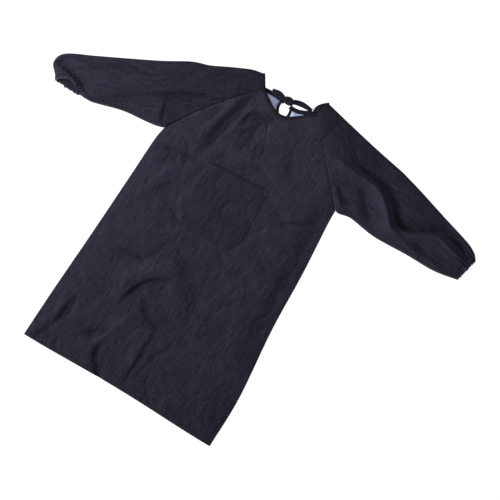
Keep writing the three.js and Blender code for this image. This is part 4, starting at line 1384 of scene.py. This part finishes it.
class SMOCK_OT_stage(bpy.types.Operator):
    """Pale floor, soft studio light and the camera over the garment"""
    bl_idname = "smock.stage"
    bl_label = "Stage"

    def execute(self, context):
        self.lay_floor(context)
        turn = math.radians(PICTURE_TURN)
        centre = Vector(HEM_MIDDLE) + Vector((*PICTURE_CENTRE, 0)) * MM
        self.hang_lights(context, centre, turn)
        self.place_camera(context, centre, turn)
        return {"FINISHED"}

    def lay_floor(self, context):
        """A pale floor just under the garment, which glows so that it comes out white."""
        mesh = bpy.data.meshes.new("floor")
        corners = [(x * FLOOR_REACH, y * FLOOR_REACH, -FLOOR_DROP)
                   for x, y in ((-1, -1), (1, -1), (1, 1), (-1, 1))]
        mesh.from_pydata(corners, [], [(0, 1, 2, 3)])
        material, build, shader = new_finish("pale_floor")
        place = build.add("ShaderNodeTexCoord", None, None, "Object")
        grain = build.add("ShaderNodeTexNoise", None, {"Vector": place, "Scale": 3.0, "Detail": 2.0})
        feed(build.tree, shader["Roughness"], 0.85 + grain * 0.1)
        shader["Base Color"].default_value = (*context.scene.smock_colours.floor, 1)
        shader["Specular IOR Level"].default_value = 0.1
        shader["Emission Color"].default_value = (1, 1, 1, 1)
        shader["Emission Strength"].default_value = FLOOR_GLOW
        mesh.materials.append(material)
        floor = bpy.data.objects.new("floor", mesh)
        context.collection.objects.link(floor)

    def hang_lights(self, context, centre, turn):
        """Soft lights placed in the picture's own directions, and a white sky."""
        right = Vector((math.cos(turn), math.sin(turn), 0))
        up = Vector((-math.sin(turn), math.cos(turn), 0))
        for name, (across, along, height, size, power) in LIGHTS.items():
            lamp = bpy.data.lights.new(name, "AREA")
            lamp.size = size
            lamp.energy = power
            light = bpy.data.objects.new(name, lamp)
            light.location = centre + right * across + up * along + Vector((0, 0, height))
            light.rotation_euler = (centre - light.location).to_track_quat("-Z", "Y").to_euler()
            context.collection.objects.link(light)
        world = bpy.data.worlds.new("studio")
        world.use_nodes = True
        sky = world.node_tree.nodes["Background"].inputs
        sky["Color"].default_value = (1, 1, 1, 1)
        sky["Strength"].default_value = SKY_STRENGTH
        context.scene.world = world
        context.scene.view_settings.view_transform = "Standard"

    def place_camera(self, context, centre, turn):
        """The camera straight above the garment, turned as the picture is."""
        lens = bpy.data.cameras.new("camera")
        lens.sensor_width = SENSOR
        lens.lens = SENSOR * CAMERA_HEIGHT / (PICTURE_WIDTH * MM)
        camera = bpy.data.objects.new("camera", lens)
        camera.location = centre + Vector((0, 0, CAMERA_HEIGHT))
        camera.rotation_euler = (0, 0, turn)
        context.collection.objects.link(camera)
        context.scene.camera = camera


PIECES = (SMOCK_OT_front_panel, SMOCK_OT_front_pocket, SMOCK_OT_back_panel, SMOCK_OT_sleeves, SMOCK_OT_cuffs,
          SMOCK_OT_bindings, SMOCK_OT_tie, SMOCK_OT_stitching, SMOCK_OT_stage)


class SMOCK_PT_panel(bpy.types.Panel):
    """Sizes, colours and pieces of the smock"""
    bl_idname = "SMOCK_PT_panel"
    bl_label = "Smock Apron"
    bl_space_type = "VIEW_3D"
    bl_region_type = "UI"
    bl_category = "Smock"

    def draw(self, context):
        for group in (context.scene.smock_sizes, context.scene.smock_colours):
            for name in group.__annotations__:
                self.layout.prop(group, name)
        for piece in PIECES:
            self.layout.operator(piece.bl_idname)


CLASSES = (SmockSizes, SmockColours, *PIECES, SMOCK_PT_panel)


def register():
    for cls in CLASSES:
        bpy.utils.register_class(cls)
    bpy.types.Scene.smock_sizes = bpy.props.PointerProperty(type=SmockSizes)
    bpy.types.Scene.smock_colours = bpy.props.PointerProperty(type=SmockColours)


def unregister():
    del bpy.types.Scene.smock_colours
    del bpy.types.Scene.smock_sizes
    for cls in reversed(CLASSES):
        bpy.utils.unregister_class(cls)


def main():
    register()
    for piece in PIECES:
        group, name = piece.bl_idname.split(".")
        getattr(getattr(bpy.ops, group), name)()


if __name__ == "__main__":
    main()
